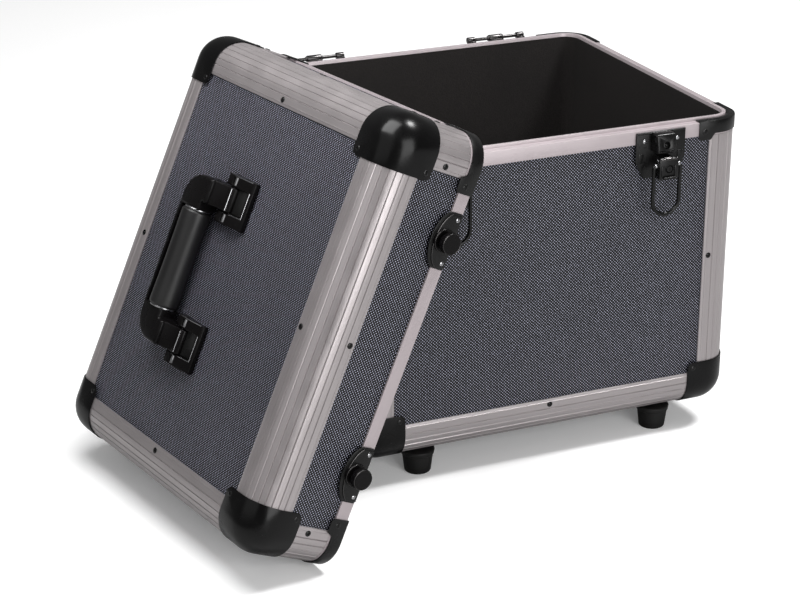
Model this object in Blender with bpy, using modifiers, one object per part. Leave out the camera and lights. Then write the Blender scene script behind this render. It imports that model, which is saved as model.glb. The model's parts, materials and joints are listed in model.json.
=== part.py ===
"""Record carrying case with its lid lifted off and leaning on the base.

Metres, +Z up. The latches face -Y and the hinges +Y. The base stands on its
feet; the lid rests its lower rim edge on the floor and leans on the left rim.
Run with: blender --background --python part.py
"""

import math

import bpy
import bmesh
from mathutils import Matrix, Vector
from mathutils.bvhtree import BVHTree

# Overall sizes
CASE_LENGTH = 0.365
CASE_DEPTH = 0.3125
BASE_HEIGHT = 0.270
LID_HEIGHT = 0.089
FOOT_HEIGHT = 0.022

# Clearances and tolerances
FIT_GAP = 0.0003
CUT_OVERRUN = 0.002
MERGE_DISTANCE = 0.000002
SMOOTH_ANGLE = math.radians(32)

# Pose of the lifted-off lid
LID_TILT = math.radians(65.0)
LID_YAW = math.radians(11.0)
LID_SHIFT_FORWARD = 0.1105
LEAN_STEP = 0.004

# Fluted aluminium profile
PROFILE_LEG = 0.034
PROFILE_RADIUS = 0.025
PROFILE_WALL = 0.0018
WEB_WALL = 0.0012
INNER_FLANGE_LEG = 0.031
SLOT_FLOOR = 0.0235
GROOVE_WIDTH = 0.0008
GROOVE_DEPTH = 0.0005
GROOVE_COUNT = 8

# Laminated panels and lining
PANEL_THICKNESS = 0.0065
LINING_THICKNESS = 0.0015
LINING_SEAT = 0.0003
CORNER_STEPS = 5

# Rim profile
RIM_HEIGHT = 0.012
RIM_WIDTH = 0.0105
RIM_TOP_WALL = 0.0045
RIM_INNER_WALL = 0.0016
LIP_HEIGHT = 0.0025
LIP_WIDTH = 0.0035

# Ball corners
BALL_LEG = 0.044
BALL_WALL = 0.0012
BALL_GAP = 0.0005
BALL_TAB_ROUND = 0.0055
BALL_STEPS = 6
TAB_STEPS = 3

# Rim corner brackets
BRACKET_LEG = 0.045
BRACKET_WALL = 0.0015
BRACKET_FLANGE_WALL = 0.0008
BRACKET_FLANGE_REACH = 0.0065
BRACKET_BAND_HEIGHT = 0.011
BRACKET_TAB_HEIGHT = 0.016
BRACKET_TAB_WIDTH = 0.011
BRACKET_SCREW_RADIUS = 0.0018
BRACKET_SCREW_BITE = 0.0012

# Feet
FOOT_TOP_RADIUS = 0.0150
FOOT_BOTTOM_RADIUS = 0.0118
FOOT_EDGE_ROUND = 0.0015
FOOT_INSET_X = 0.0655
FOOT_INSET_Y = 0.0225
FOOT_RECESS_RADIUS = 0.0045
FOOT_RECESS_DEPTH = 0.004
ROUND_STEPS = 24

# Lift-off hinges
HINGE_INSET = 0.0875
HINGE_LENGTH = 0.060
HINGE_LEAF_HEIGHT = 0.024
HINGE_LEAF_WALL = 0.0015
HINGE_LEAF_DROP = 0.0035
HINGE_AXIS_OUT = 0.0056
HINGE_AXIS_RISE = 0.0015
HINGE_ROD_RADIUS = 0.0016
HINGE_END_RADIUS = 0.0030
HINGE_END_LENGTH = 0.0075
HINGE_BARREL_RADIUS = 0.0034
HINGE_BARREL_LENGTH = 0.0142
HOOK_WIDTH = 0.010
HOOK_PLAY = 0.0004
HOOK_WALL = 0.0014
HOOK_STEPS = 8
HINGE_STEPS = 14

# Latches on the base
LATCH_INSET = 0.0835
LATCH_PLATE_WIDTH = 0.048
LATCH_PLATE_WALL = 0.0015
LATCH_PLATE_TOP = 0.0015
LATCH_PLATE_HEIGHT = 0.0415
LATCH_SHOULDER_DROP = 0.029
LATCH_FOOT_WIDTH = 0.034
LATCH_HOUSING_WIDTH = 0.019
LATCH_HOUSING_DEPTH = 0.0105
LATCH_HOUSING_LOW_DEPTH = 0.0140
LATCH_HOUSING_DROP = 0.0185
LATCH_HOUSING_ROUND = 0.0015
LATCH_DIMPLE_RADIUS = 0.0032
LATCH_DIMPLE_DEPTH = 0.002
LATCH_DIMPLE_DROP = 0.0115
LEVER_AXIS_DROP = 0.0240
LEVER_AXIS_OUT = 0.0140
LEVER_PIN_RADIUS = 0.0015
LEVER_EAR_RADIUS = 0.0024
LEVER_EAR_WALL = 0.0028
LEVER_EAR_REACH = 0.0069
LEVER_KNUCKLE_RADIUS = 0.0030
LEVER_RUNNING_PLAY = 0.0003
LEVER_WIDTH = 0.0185
LEVER_WALL = 0.0012
LEVER_FRONT_OUT = 0.0040
LEVER_RISE = 0.0020
LEVER_LENGTH = 0.0158
LEVER_CHEEK_BACK = 0.0034
LEVER_LIP_WIDTH = 0.012
LEVER_LIP_OUT = 0.0022
LEVER_LIP_HEIGHT = 0.0022
LOCK_RADIUS = 0.0038
LOCK_PROUD = 0.0008
LOCK_DROP = 0.0070
BAIL_PIVOT_DROP = 0.0045
BAIL_WIRE_RADIUS = 0.0018
BAIL_HALF_WIDTH = 0.0128
BAIL_LENGTH = 0.0445
BAIL_BEND_RADIUS = 0.0026
BAIL_END_INSET = 0.0008
BAIL_HOLE_PLAY = 0.0003
BAIL_BEND_STEPS = 3
BAIL_LOOP_STEPS = 12
SMALL_STEPS = 12

# Strikes on the lid
STRIKE_WIDTH = 0.047
STRIKE_WALL = 0.0015
STRIKE_SEAT = 0.0015
STRIKE_SHOULDER = 0.0105
STRIKE_HEIGHT = 0.0240
STRIKE_TOP_WIDTH = 0.026
KNOB_HEIGHT_ON_LID = 0.0115
KNOB_FLANGE_RADIUS = 0.0098
KNOB_FLANGE_WALL = 0.0025
KNOB_NECK_RADIUS = 0.0056
KNOB_NECK_LENGTH = 0.0045
KNOB_CAP_RADIUS = 0.0088
KNOB_CAP_LENGTH = 0.0052
KNOB_EDGE_ROUND = 0.0012

# Handle
HANDLE_BRACKET_OFFSET = 0.0620
HANDLE_BRACKET_WIDTH = 0.0415
HANDLE_BRACKET_BACK = 0.0225
HANDLE_BRACKET_FRONT = 0.0120
HANDLE_BRACKET_HEIGHT = 0.0102
HANDLE_BRACKET_TAIL = 0.0060
HANDLE_BRACKET_ROUND = 0.0018
HANDLE_POCKET_WIDTH = 0.0225
HANDLE_POCKET_BACK = 0.0195
HANDLE_POCKET_FLOOR = 0.0018
HANDLE_PIVOT_Y = 0.0120
HANDLE_PIVOT_RISE = 0.0075
HANDLE_PIN_RADIUS = 0.0025
HANDLE_PIN_PLAY = 0.0003
HANDLE_PIN_INSET = 0.0008
HANDLE_BARREL_RADIUS = 0.0049
HANDLE_ARM_WIDTH = 0.0210
HANDLE_ARM_HALF_HEIGHT = 0.0049
HANDLE_ELBOW_START = 0.0140
HANDLE_ELBOW_STEP = 0.0218
HANDLE_ELBOW_TOP = 0.0145
HANDLE_ELBOW_ROUND = 0.0220
HANDLE_REACH = 0.0505
HANDLE_STRAP_WALL = 0.0035
GRIP_LENGTH = 0.0855
GRIP_RADIUS = 0.0120
GRIP_WAIST = 0.0004
GRIP_END_ROUND = 0.0012
GRIP_OUT = 0.0325
GRIP_RISE = 0.0060
GRIP_CORE_RADIUS = 0.0050

# Finishes: colour, roughness, metallic
FINISHES = {
    "aluminium": ((0.31, 0.28, 0.27), 0.42, 0.9),
    "bright_aluminium": ((0.72, 0.64, 0.66), 0.35, 0.9),
    "panel": ((0.065, 0.068, 0.090), 0.55, 0.0),
    "lining": ((0.016, 0.014, 0.013), 0.95, 0.0),
    "black_steel": ((0.012, 0.012, 0.013), 0.35, 0.3),
    "rubber": ((0.012, 0.012, 0.012), 0.65, 0.0),
    "wire": ((0.02, 0.02, 0.02), 0.35, 0.8),
}

# Derived sizes
PANEL_FACE = PROFILE_WALL + FIT_GAP
SLOT_INNER = PROFILE_WALL + PANEL_THICKNESS + 2 * FIT_GAP
FLANGE_INNER = SLOT_INNER + WEB_WALL
PANEL_EDGE = SLOT_FLOOR + FIT_GAP
LINING_OUTER = max(RIM_WIDTH, FLANGE_INNER) + LINING_SEAT
LINING_INNER = LINING_OUTER + LINING_THICKNESS
CLOSED_GAP = 2 * (FIT_GAP + BRACKET_FLANGE_WALL) + FIT_GAP
RIM_PLANE = FOOT_HEIGHT + BASE_HEIGHT
HINGE_OFFSET = CASE_LENGTH / 2 - HINGE_INSET
LATCH_OFFSET = CASE_LENGTH / 2 - LATCH_INSET
PROUD = FIT_GAP + BRACKET_WALL
BALL_PROUD = BALL_GAP + BALL_WALL

CORNERS = (
    ("front_left", -1, -1, 0),
    ("front_right", 1, -1, 1),
    ("back_right", 1, 1, 2),
    ("back_left", -1, 1, 3),
)
SIDES = (("left", -1), ("right", 1))

# Frames that map a profile's two legs and its length onto an edge
X, Y, Z = Vector((1, 0, 0)), Vector((0, 1, 0)), Vector((0, 0, 1))
LID_FLIP = Matrix(((0, 1, 0, 0), (1, 0, 0, 0), (0, 0, -1, 0), (0, 0, 0, 1)))
SIDEWAYS = Matrix(((0, 0, 1, 0), (1, 0, 0, 0), (0, 1, 0, 0), (0, 0, 0, 1)))


def clear_scene():
    """Remove every object that the new file starts with."""
    for thing in list(bpy.data.objects):
        bpy.data.objects.remove(thing, do_unlink=True)


def new_collection(name):
    """Make a collection under the scene."""
    collection = bpy.data.collections.new(name)
    bpy.context.scene.collection.children.link(collection)
    return collection


def finish(name):
    """Return the Principled material of a finish, made once."""
    material = bpy.data.materials.get(name)
    if material:
        return material
    colour, roughness, metallic = FINISHES[name]
    material = bpy.data.materials.new(name)
    material.use_nodes = True
    shader = material.node_tree.nodes["Principled BSDF"]
    shader.inputs["Base Color"].default_value = (*colour, 1.0)
    shader.inputs["Roughness"].default_value = roughness
    shader.inputs["Metallic"].default_value = metallic
    material.diffuse_color = (*colour, 1.0)
    return material


def empty(name, parent=None, location=(0, 0, 0)):
    """Make an empty that carries other pieces."""
    guide = bpy.data.objects.new(name, None)
    bpy.context.scene.collection.objects.link(guide)
    guide.parent = parent
    guide.location = location
    return guide


def solid(name, mesh):
    """Link a loose working object for a mesh."""
    thing = bpy.data.objects.new(name, mesh)
    bpy.context.scene.collection.objects.link(thing)
    return thing


def baked(thing):
    """Apply an object's modifiers, or make a curve a mesh, and weld its caps."""
    bpy.context.view_layer.update()
    graph = bpy.context.evaluated_depsgraph_get()
    mesh = bpy.data.meshes.new_from_object(thing.evaluated_get(graph))
    work = bmesh.new()
    work.from_mesh(mesh)
    bmesh.ops.remove_doubles(work, verts=work.verts, dist=MERGE_DISTANCE)
    work.to_mesh(mesh)
    work.free()
    name = thing.name
    matrix = thing.matrix_world.copy()
    bpy.data.objects.remove(thing, do_unlink=True)
    result = solid(name, mesh)
    result.matrix_world = matrix
    return result


def moved(thing, matrix):
    """Move an object's mesh by a matrix and return the object."""
    thing.data.transform(matrix @ thing.matrix_world)
    thing.matrix_world = Matrix.Identity(4)
    if matrix.determinant() < 0:
        thing.data.flip_normals()
    return thing


def shifted(thing, x=0.0, y=0.0, z=0.0):
    """Move an object's mesh along the axes."""
    return moved(thing, Matrix.Translation((x, y, z)))


def combine(target, tool, operation):
    """Cut or join a mesh with another and remove the other."""
    tool.hide_render = True
    tool.display_type = "WIRE"
    bpy.data.collections["case_cutters"].objects.link(tool)
    modifier = target.modifiers.new(operation.lower(), "BOOLEAN")
    modifier.operation = operation
    modifier.solver = "EXACT"
    modifier.object = tool
    result = baked(target)
    bpy.data.objects.remove(tool, do_unlink=True)
    return result


def cut(target, *tools):
    """Cut meshes out of a mesh."""
    for tool in tools:
        target = combine(target, tool, "DIFFERENCE")
    return target


def join(target, *tools):
    """Join meshes that overlap into one body."""
    for tool in tools:
        target = combine(target, tool, "UNION")
    return target


def box(name, low, high, round_by=0.0, steps=2):
    """Make a box between two corners, with rounded edges if asked."""
    work = bmesh.new()
    bmesh.ops.create_cube(work, size=1)
    size = Vector(high) - Vector(low)
    centre = (Vector(high) + Vector(low)) / 2
    bmesh.ops.scale(work, vec=size, verts=work.verts)
    bmesh.ops.translate(work, vec=centre, verts=work.verts)
    if round_by > 0:
        bmesh.ops.bevel(work, geom=work.edges[:], offset=round_by, segments=steps,
                        affect="EDGES", profile=0.5)
    mesh = bpy.data.meshes.new(name)
    work.to_mesh(mesh)
    work.free()
    return solid(name, mesh)


def rod(name, radius, start, end, steps=SMALL_STEPS):
    """Make a cylinder from one point to another."""
    start, end = Vector(start), Vector(end)
    direction = end - start
    work = bmesh.new()
    bmesh.ops.create_cone(work, cap_ends=True, segments=steps, radius1=radius,
                          radius2=radius, depth=direction.length)
    turn = direction.to_track_quat("Z", "Y").to_matrix().to_4x4()
    work.transform(Matrix.Translation((start + end) / 2) @ turn)
    mesh = bpy.data.meshes.new(name)
    work.to_mesh(mesh)
    work.free()
    return solid(name, mesh)


def prism(name, outlines, low, high):
    """Extrude closed outlines along Z; the second and later ones are holes."""
    curve = bpy.data.curves.new(name, "CURVE")
    curve.dimensions = "2D"
    curve.fill_mode = "BOTH"
    curve.extrude = (high - low) / 2
    for outline in outlines:
        spline = curve.splines.new("POLY")
        spline.points.add(len(outline) - 1)
        spline.use_cyclic_u = True
        for point, (x, y) in zip(spline.points, outline):
            point.co = (x, y, 0, 1)
    return shifted(baked(solid(name, curve)), z=(high + low) / 2)


def turned(name, profile, steps=ROUND_STEPS):
    """Turn a profile of (radius, height) points, given from the top down."""
    mesh = bpy.data.meshes.new(name)
    points = [(radius, 0, height) for radius, height in profile]
    edges = [(i, i + 1) for i in range(len(points) - 1)]
    mesh.from_pydata(points, edges, [])
    thing = solid(name, mesh)
    screw = thing.modifiers.new("turn", "SCREW")
    screw.steps = steps
    screw.render_steps = steps
    screw.use_merge_vertices = True
    screw.merge_threshold = MERGE_DISTANCE
    return baked(thing)


def wire(name, points, radius, resolution=2):
    """Make a round wire along a list of points."""
    curve = bpy.data.curves.new(name, "CURVE")
    curve.dimensions = "3D"
    curve.bevel_depth = radius
    curve.bevel_resolution = resolution
    curve.use_fill_caps = True
    spline = curve.splines.new("POLY")
    spline.points.add(len(points) - 1)
    for point, place in zip(spline.points, points):
        point.co = (*place, 1)
    return baked(solid(name, curve))


def polar(centre, radius, angle):
    """Point on a circle at an angle in degrees."""
    turn = math.radians(angle)
    return (centre[0] + radius * math.cos(turn), centre[1] + radius * math.sin(turn))


def arc(centre, radius, start, end, steps):
    """Points on an arc, both ends included, with angles in degrees."""
    points = []
    for step in range(steps + 1):
        angle = math.radians(start + (end - start) * step / steps)
        points.append((centre[0] + radius * math.cos(angle),
                       centre[1] + radius * math.sin(angle)))
    return points


def keep(thing, finish_name, parent, smooth=False):
    """Give a finished piece its material, parent and collection."""
    for collection in list(thing.users_collection):
        collection.objects.unlink(thing)
    bpy.data.collections["record_carrying_case"].objects.link(thing)
    thing.data.name = thing.name
    thing.data.materials.clear()
    thing.data.materials.append(finish(finish_name))
    thing.parent = parent
    if smooth:
        thing.data.shade_smooth()
        thing.data.set_sharp_from_angle(angle=SMOOTH_ANGLE)
    return thing


def edge_frame(corner, leg_u, leg_v):
    """Frame whose X and Y run along a profile's legs from the outer corner."""
    along = leg_u.cross(leg_v)
    turn = Matrix((leg_u, leg_v, along)).transposed().to_4x4()
    return Matrix.Translation(corner) @ turn


def corner_frame(sx, sy, quarter, height, flip=False):
    """Frame at one of the four upright corners, X and Y running inwards."""
    place = Matrix.Translation((sx * CASE_LENGTH / 2, sy * CASE_DEPTH / 2, height))
    frame = place @ Matrix.Rotation(quarter * math.pi / 2, 4, "Z")
    return frame @ LID_FLIP if flip else frame


def rounded_rectangle(offset):
    """Outline of the case in plan, drawn in from its outer face by an offset."""
    half_x = CASE_LENGTH / 2 - offset
    half_y = CASE_DEPTH / 2 - offset
    radius = PROFILE_RADIUS - offset
    points = []
    for _, sx, sy, quarter in CORNERS:
        centre = (sx * (half_x - radius), sy * (half_y - radius))
        start = 180 + 90 * quarter
        points += arc(centre, radius, start, start + 90, CORNER_STEPS)
    return points


def ring(name, outer, inner, low, high):
    """Ring between two offsets from the outer face."""
    return prism(name, [rounded_rectangle(outer), rounded_rectangle(inner)], low, high)


def corner_band(name, outer, inner, leg, low, high):
    """Band that follows one rounded corner between two offsets."""
    centre = (PROFILE_RADIUS, PROFILE_RADIUS)
    points = [(leg, outer)]
    points += arc(centre, PROFILE_RADIUS - outer, 270, 180, CORNER_STEPS)
    points += [(outer, leg), (inner, leg)]
    points += arc(centre, PROFILE_RADIUS - inner, 180, 270, CORNER_STEPS)
    points += [(leg, inner)]
    return prism(name, [points], low, high)


def fluted_arc():
    """Outer skin of the profile: an arc with grooves at even steps."""
    centre = (PROFILE_RADIUS, PROFILE_RADIUS)
    half = math.degrees(GROOVE_WIDTH / 2 / PROFILE_RADIUS)
    floor = PROFILE_RADIUS - GROOVE_DEPTH
    spacing = 90 / (GROOVE_COUNT - 1)
    points = []
    for index in range(GROOVE_COUNT):
        angle = 270 - index * spacing
        before, after = angle + half, angle - half
        if index:
            points += arc(centre, PROFILE_RADIUS, angle + spacing / 2, before, 1)
        else:
            points.append((PROFILE_RADIUS + GROOVE_WIDTH / 2, 0))
        start = min(before, 270)
        end = max(after, 180)
        points += arc(centre, floor, start, end, 1)
        if index < GROOVE_COUNT - 1:
            points.append(polar(centre, PROFILE_RADIUS, after))
        else:
            points.append((0, PROFILE_RADIUS + GROOVE_WIDTH / 2))
    return points


def profile_section():
    """Section of the edge profile: fluted skin, two slots, inner flange, chamber."""
    wall, inner, far = PROFILE_WALL, SLOT_INNER, FLANGE_INNER
    outer = [(PROFILE_LEG, 0), *fluted_arc(), (0, PROFILE_LEG),
             (wall, PROFILE_LEG), (wall, SLOT_FLOOR), (inner, SLOT_FLOOR),
             (inner, INNER_FLANGE_LEG), (far, INNER_FLANGE_LEG), (far, far),
             (INNER_FLANGE_LEG, far), (INNER_FLANGE_LEG, inner),
             (SLOT_FLOOR, inner), (SLOT_FLOOR, wall), (PROFILE_LEG, wall)]
    edge = SLOT_FLOOR - WEB_WALL
    skin = PROFILE_RADIUS - wall
    drop = math.sqrt(skin ** 2 - (PROFILE_RADIUS - edge) ** 2)
    lean = math.degrees(math.asin((PROFILE_RADIUS - edge) / skin))
    chamber = arc((PROFILE_RADIUS, PROFILE_RADIUS), skin, 270 - lean, 180 + lean,
                  CORNER_STEPS)
    chamber[0] = (edge, PROFILE_RADIUS - drop)
    chamber[-1] = (PROFILE_RADIUS - drop, edge)
    chamber += [(inner, edge), (inner, inner), (edge, inner)]
    return [outer, chamber]


def profile(name, frame, length, parent):
    """A length of profile, centred on its frame's origin."""
    piece = prism(name, profile_section(), -length / 2, length / 2)
    return keep(moved(piece, frame), "aluminium", parent, smooth=True)


def ball_corner(name, frame, parent):
    """Pressed corner cap over the ends of three profiles."""
    shell = BALL_PROUD
    side = BALL_LEG + shell
    work = bmesh.new()
    bmesh.ops.create_cube(work, size=side)
    bmesh.ops.translate(work, vec=[side / 2 - shell] * 3, verts=work.verts)
    far = [f for f in work.faces if f.normal.dot(Vector((1, 1, 1))) > 0]
    bmesh.ops.delete(work, geom=far, context="FACES")
    tabs = [v for v in work.verts if len(v.link_edges) == 2]
    bmesh.ops.bevel(work, geom=tabs, offset=BALL_TAB_ROUND, segments=TAB_STEPS,
                    affect="VERTICES", profile=0.5)
    folds = [e for e in work.edges if len(e.link_faces) == 2]
    bmesh.ops.bevel(work, geom=folds, offset=PROFILE_RADIUS + shell,
                    segments=BALL_STEPS, affect="EDGES", profile=0.5)
    mesh = bpy.data.meshes.new(name)
    work.to_mesh(mesh)
    work.free()
    piece = solid(name, mesh)
    wall = piece.modifiers.new("wall", "SOLIDIFY")
    wall.thickness = BALL_WALL
    wall.offset = -1
    wall.use_even_offset = True
    return keep(moved(baked(piece), frame), "black_steel", parent, smooth=True)


def bracket_shape(name):
    """Rim corner bracket, with Z up from the rim plane and legs along X and Y."""
    top = FIT_GAP + BRACKET_FLANGE_WALL
    band = BRACKET_BAND_HEIGHT
    tab = BRACKET_TAB_HEIGHT
    piece = corner_band(name, -PROUD, BRACKET_FLANGE_REACH, BRACKET_LEG, -tab, top)
    hollow = corner_band("hollow", -FIT_GAP, BRACKET_FLANGE_REACH + CUT_OVERRUN,
                         BRACKET_LEG + CUT_OVERRUN, -tab - CUT_OVERRUN, FIT_GAP)
    relief = corner_band("relief", -PROUD - CUT_OVERRUN, CUT_OVERRUN,
                         BRACKET_LEG - BRACKET_TAB_WIDTH, -tab - CUT_OVERRUN, -band)
    return cut(piece, hollow, relief)


def rim_bracket(name, frame, parent):
    """Corner bracket of the base rim."""
    return keep(moved(bracket_shape(name), frame), "black_steel", parent, smooth=True)


def bracket_screws():
    """The two screws that hold a bracket on a rim, in the bracket's frame."""
    along = BRACKET_LEG - BRACKET_TAB_WIDTH / 2
    drop = -RIM_HEIGHT / 2
    out, bite = -PROUD, BRACKET_SCREW_BITE
    first = rod("screw", BRACKET_SCREW_RADIUS, (along, out, drop), (along, bite, drop))
    second = rod("screw", BRACKET_SCREW_RADIUS, (out, along, drop), (bite, along, drop))
    return first, second


def rim(name, top, lip, rebate):
    """Rim channel open towards the panels; Z runs up from its far edge."""
    high = top + (LIP_HEIGHT if lip else 0)
    piece = ring(name, 0, RIM_WIDTH, top - RIM_HEIGHT, high)
    channel = ring("channel", PROFILE_WALL, RIM_WIDTH - RIM_INNER_WALL,
                   top - RIM_HEIGHT - CUT_OVERRUN, top - RIM_TOP_WALL)
    piece = cut(piece, channel)
    if lip:
        step = ring("step", -CUT_OVERRUN, RIM_WIDTH - LIP_WIDTH, top, high + CUT_OVERRUN)
        piece = cut(piece, step)
    if rebate:
        reach = LIP_WIDTH + FIT_GAP
        depth = LIP_HEIGHT + FIT_GAP
        seat = ring("seat", RIM_WIDTH - reach, RIM_WIDTH + CUT_OVERRUN,
                    top - depth, top + CUT_OVERRUN)
        piece = cut(piece, seat)
    return piece


def panel(name, low, high, parent):
    """A laminated board."""
    return keep(box(name, low, high), "panel", parent)


def lining(name, low, high, parent):
    """Open box that lines the inside, with rounded upright corners."""
    piece = prism(name, [rounded_rectangle(LINING_OUTER)], low, high)
    inside = prism("inside", [rounded_rectangle(LINING_INNER)],
                   low + LINING_THICKNESS, high + CUT_OVERRUN)
    return keep(cut(piece, inside), "lining", parent)


def wall_panels(prefix, low, high, parent):
    """The four upright boards, each between the webs of two profiles."""
    face, back = PANEL_FACE, PANEL_FACE + PANEL_THICKNESS
    half_x, half_y = CASE_LENGTH / 2, CASE_DEPTH / 2
    run_x, run_y = half_x - PANEL_EDGE, half_y - PANEL_EDGE
    panel(prefix + "_front_panel", (-run_x, -half_y + face, low),
          (run_x, -half_y + back, high), parent)
    panel(prefix + "_back_panel", (-run_x, half_y - back, low),
          (run_x, half_y - face, high), parent)
    panel(prefix + "_left_panel", (-half_x + face, -run_y, low),
          (-half_x + back, run_y, high), parent)
    panel(prefix + "_right_panel", (half_x - back, -run_y, low),
          (half_x - face, run_y, high), parent)


def foot(name, x, y, parent):
    """Tapered rubber foot with a screw recess in its underside."""
    top = FOOT_HEIGHT - FIT_GAP
    edge = FOOT_EDGE_ROUND
    outline = [(0, top), (FOOT_TOP_RADIUS - edge / 2, top), (FOOT_TOP_RADIUS, top - edge)]
    outline += arc((FOOT_BOTTOM_RADIUS - edge, edge), edge, 0, -90, TAB_STEPS)
    outline += [(FOOT_RECESS_RADIUS, 0), (FOOT_RECESS_RADIUS, FOOT_RECESS_DEPTH),
                (0, FOOT_RECESS_DEPTH)]
    piece = shifted(turned(name, outline), x=x, y=y)
    keep(piece, "rubber", parent, smooth=True)


def base_hinge(name, centre, parent):
    """Lower hinge half: leaf, end knuckles, middle barrel and the rod."""
    out = CASE_DEPTH / 2 + HINGE_AXIS_OUT
    axis_z = RIM_PLANE + HINGE_AXIS_RISE
    half = HINGE_LENGTH / 2
    end = half - HINGE_END_LENGTH
    middle = HINGE_BARREL_LENGTH / 2
    top = RIM_PLANE - HINGE_LEAF_DROP
    inset = FIT_GAP
    spans = [(-half + inset, -end - inset), (-middle + inset, middle - inset),
             (end + inset, half - inset)]
    near = CASE_DEPTH / 2 + FIT_GAP
    piece = box(name, (-half, near, top - HINGE_LEAF_HEIGHT),
                (half, near + HINGE_LEAF_WALL, top))
    for start, stop in spans:
        strap = box("strap", (start, near + inset, top - HINGE_LEAF_WALL),
                    (stop, out, axis_z))
        piece = join(piece, strap)
    bore = [("end", HINGE_END_RADIUS, -half, -end), ("end", HINGE_END_RADIUS, end, half),
            ("middle", HINGE_BARREL_RADIUS, -middle, middle),
            ("rod", HINGE_ROD_RADIUS, -half + inset, half - inset)]
    for part, radius, start, stop in bore:
        round_piece = rod(part, radius, (start, out, axis_z), (stop, out, axis_z),
                          HINGE_STEPS)
        piece = join(piece, round_piece)
    return keep(shifted(piece, x=centre), "black_steel", parent, smooth=True)


def hook_outline(axis_y, axis_z, seat_y, leaf_z):
    """Hook that drops over the rod: a leaf strap that turns over it."""
    inner = HINGE_ROD_RADIUS + HOOK_PLAY
    outer = inner + HOOK_WALL
    points = [(seat_y, leaf_z), (seat_y, axis_z)]
    points += arc((axis_y, axis_z), outer, 180, 0, HOOK_STEPS)[1:]
    points += arc((axis_y, axis_z), inner, 0, 180, HOOK_STEPS)
    points += [(axis_y - inner, leaf_z)]
    return points


def lid_hinge(name, centre):
    """Upper hinge half: leaf and two hooks, built with the lid closed upwards."""
    near = CASE_DEPTH / 2 + FIT_GAP
    axis_y = CASE_DEPTH / 2 + HINGE_AXIS_OUT
    axis_z = HINGE_AXIS_RISE - CLOSED_GAP
    low = HINGE_LEAF_DROP
    half = HINGE_LENGTH / 2
    piece = box(name, (-half, near, low), (half, near + HINGE_LEAF_WALL, low + HINGE_LEAF_HEIGHT))
    free_middle = (HINGE_BARREL_LENGTH / 2 + half - HINGE_END_LENGTH) / 2
    outer = HINGE_ROD_RADIUS + HOOK_PLAY + HOOK_WALL
    for side in (-1, 1):
        bend = prism("hook", [hook_outline(axis_y, axis_z, axis_y - outer,
                                           axis_z - HOOK_WALL / 2)],
                     -HOOK_WIDTH / 2, HOOK_WIDTH / 2)
        frame = Matrix.Translation((side * free_middle, 0, 0)) @ SIDEWAYS
        strap = box("strap", (side * free_middle - HOOK_WIDTH / 2 + FIT_GAP, near + FIT_GAP,
                              axis_z + HINGE_ROD_RADIUS + HOOK_PLAY + FIT_GAP),
                    (side * free_middle + HOOK_WIDTH / 2 - FIT_GAP, axis_y,
                     low + HINGE_LEAF_WALL))
        piece = join(piece, join(moved(bend, frame), strap))
    shank = rod("screw", BRACKET_SCREW_RADIUS, (0, near + HINGE_LEAF_WALL / 2, RIM_HEIGHT / 2),
                (0, near - FIT_GAP - BRACKET_SCREW_BITE, RIM_HEIGHT / 2))
    return shifted(join(piece, shank), x=centre)


def deepen(housing, back, top):
    """Let the latch housing grow deeper from its top to its lower edge."""
    grow = LATCH_HOUSING_LOW_DEPTH / LATCH_HOUSING_DEPTH - 1
    for vertex in housing.data.vertices:
        share = (top - vertex.co.z) / (top + LATCH_HOUSING_DROP)
        vertex.co.y += (vertex.co.y - back) * share * grow


def latch_plate(name, parent):
    """Latch plate with housing, two ears and the lever's pin."""
    back = -FIT_GAP
    front = back - LATCH_PLATE_WALL
    wide, foot_wide = LATCH_PLATE_WIDTH / 2, LATCH_FOOT_WIDTH / 2
    top, low = -LATCH_PLATE_TOP, -LATCH_PLATE_TOP - LATCH_PLATE_HEIGHT
    shoulder = -LATCH_SHOULDER_DROP
    outline = [(-wide, top), (-wide, shoulder), (-foot_wide, low), (foot_wide, low),
               (wide, shoulder), (wide, top)]
    piece = prism(name, [outline], -LATCH_PLATE_WALL / 2, LATCH_PLATE_WALL / 2)
    stand = Matrix(((1, 0, 0, 0), (0, 0, -1, (back + front) / 2), (0, 1, 0, 0), (0, 0, 0, 1)))
    piece = moved(piece, stand)
    half = LATCH_HOUSING_WIDTH / 2
    inset = FIT_GAP
    housing = box("housing", (-half, back - LATCH_HOUSING_DEPTH, -LATCH_HOUSING_DROP),
                  (half, front + LATCH_PLATE_WALL / 2, top - inset),
                  LATCH_HOUSING_ROUND)
    deepen(housing, back, top - inset)
    share = (LATCH_DIMPLE_DROP + top) / (LATCH_HOUSING_DROP + top)
    slope = LATCH_HOUSING_LOW_DEPTH - LATCH_HOUSING_DEPTH
    nose = back - LATCH_HOUSING_DEPTH - slope * share
    dimple = rod("dimple", LATCH_DIMPLE_RADIUS,
                 (0, nose - CUT_OVERRUN, -LATCH_DIMPLE_DROP),
                 (0, nose + LATCH_DIMPLE_DEPTH, -LATCH_DIMPLE_DROP))
    piece = join(piece, cut(housing, dimple))
    axis = (-LEVER_AXIS_OUT, -LEVER_AXIS_DROP)
    reach, wall = LEVER_EAR_REACH, LEVER_EAR_WALL
    for side in (-1, 1):
        near, far = sorted((side * (reach - wall), side * reach))
        strut = box("strut", (near, axis[0], axis[1] - LEVER_EAR_RADIUS + inset),
                    (far, front + LATCH_PLATE_WALL / 2, axis[1] + LEVER_EAR_RADIUS - inset))
        ear = rod("ear", LEVER_EAR_RADIUS, (near, *axis), (far, *axis), ROUND_STEPS)
        piece = join(piece, join(ear, strut))
    pin = rod("pin", LEVER_PIN_RADIUS, (-reach + wall / 2, *axis), (reach - wall / 2, *axis))
    return keep(join(piece, pin), "black_steel", parent, smooth=True)


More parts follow.
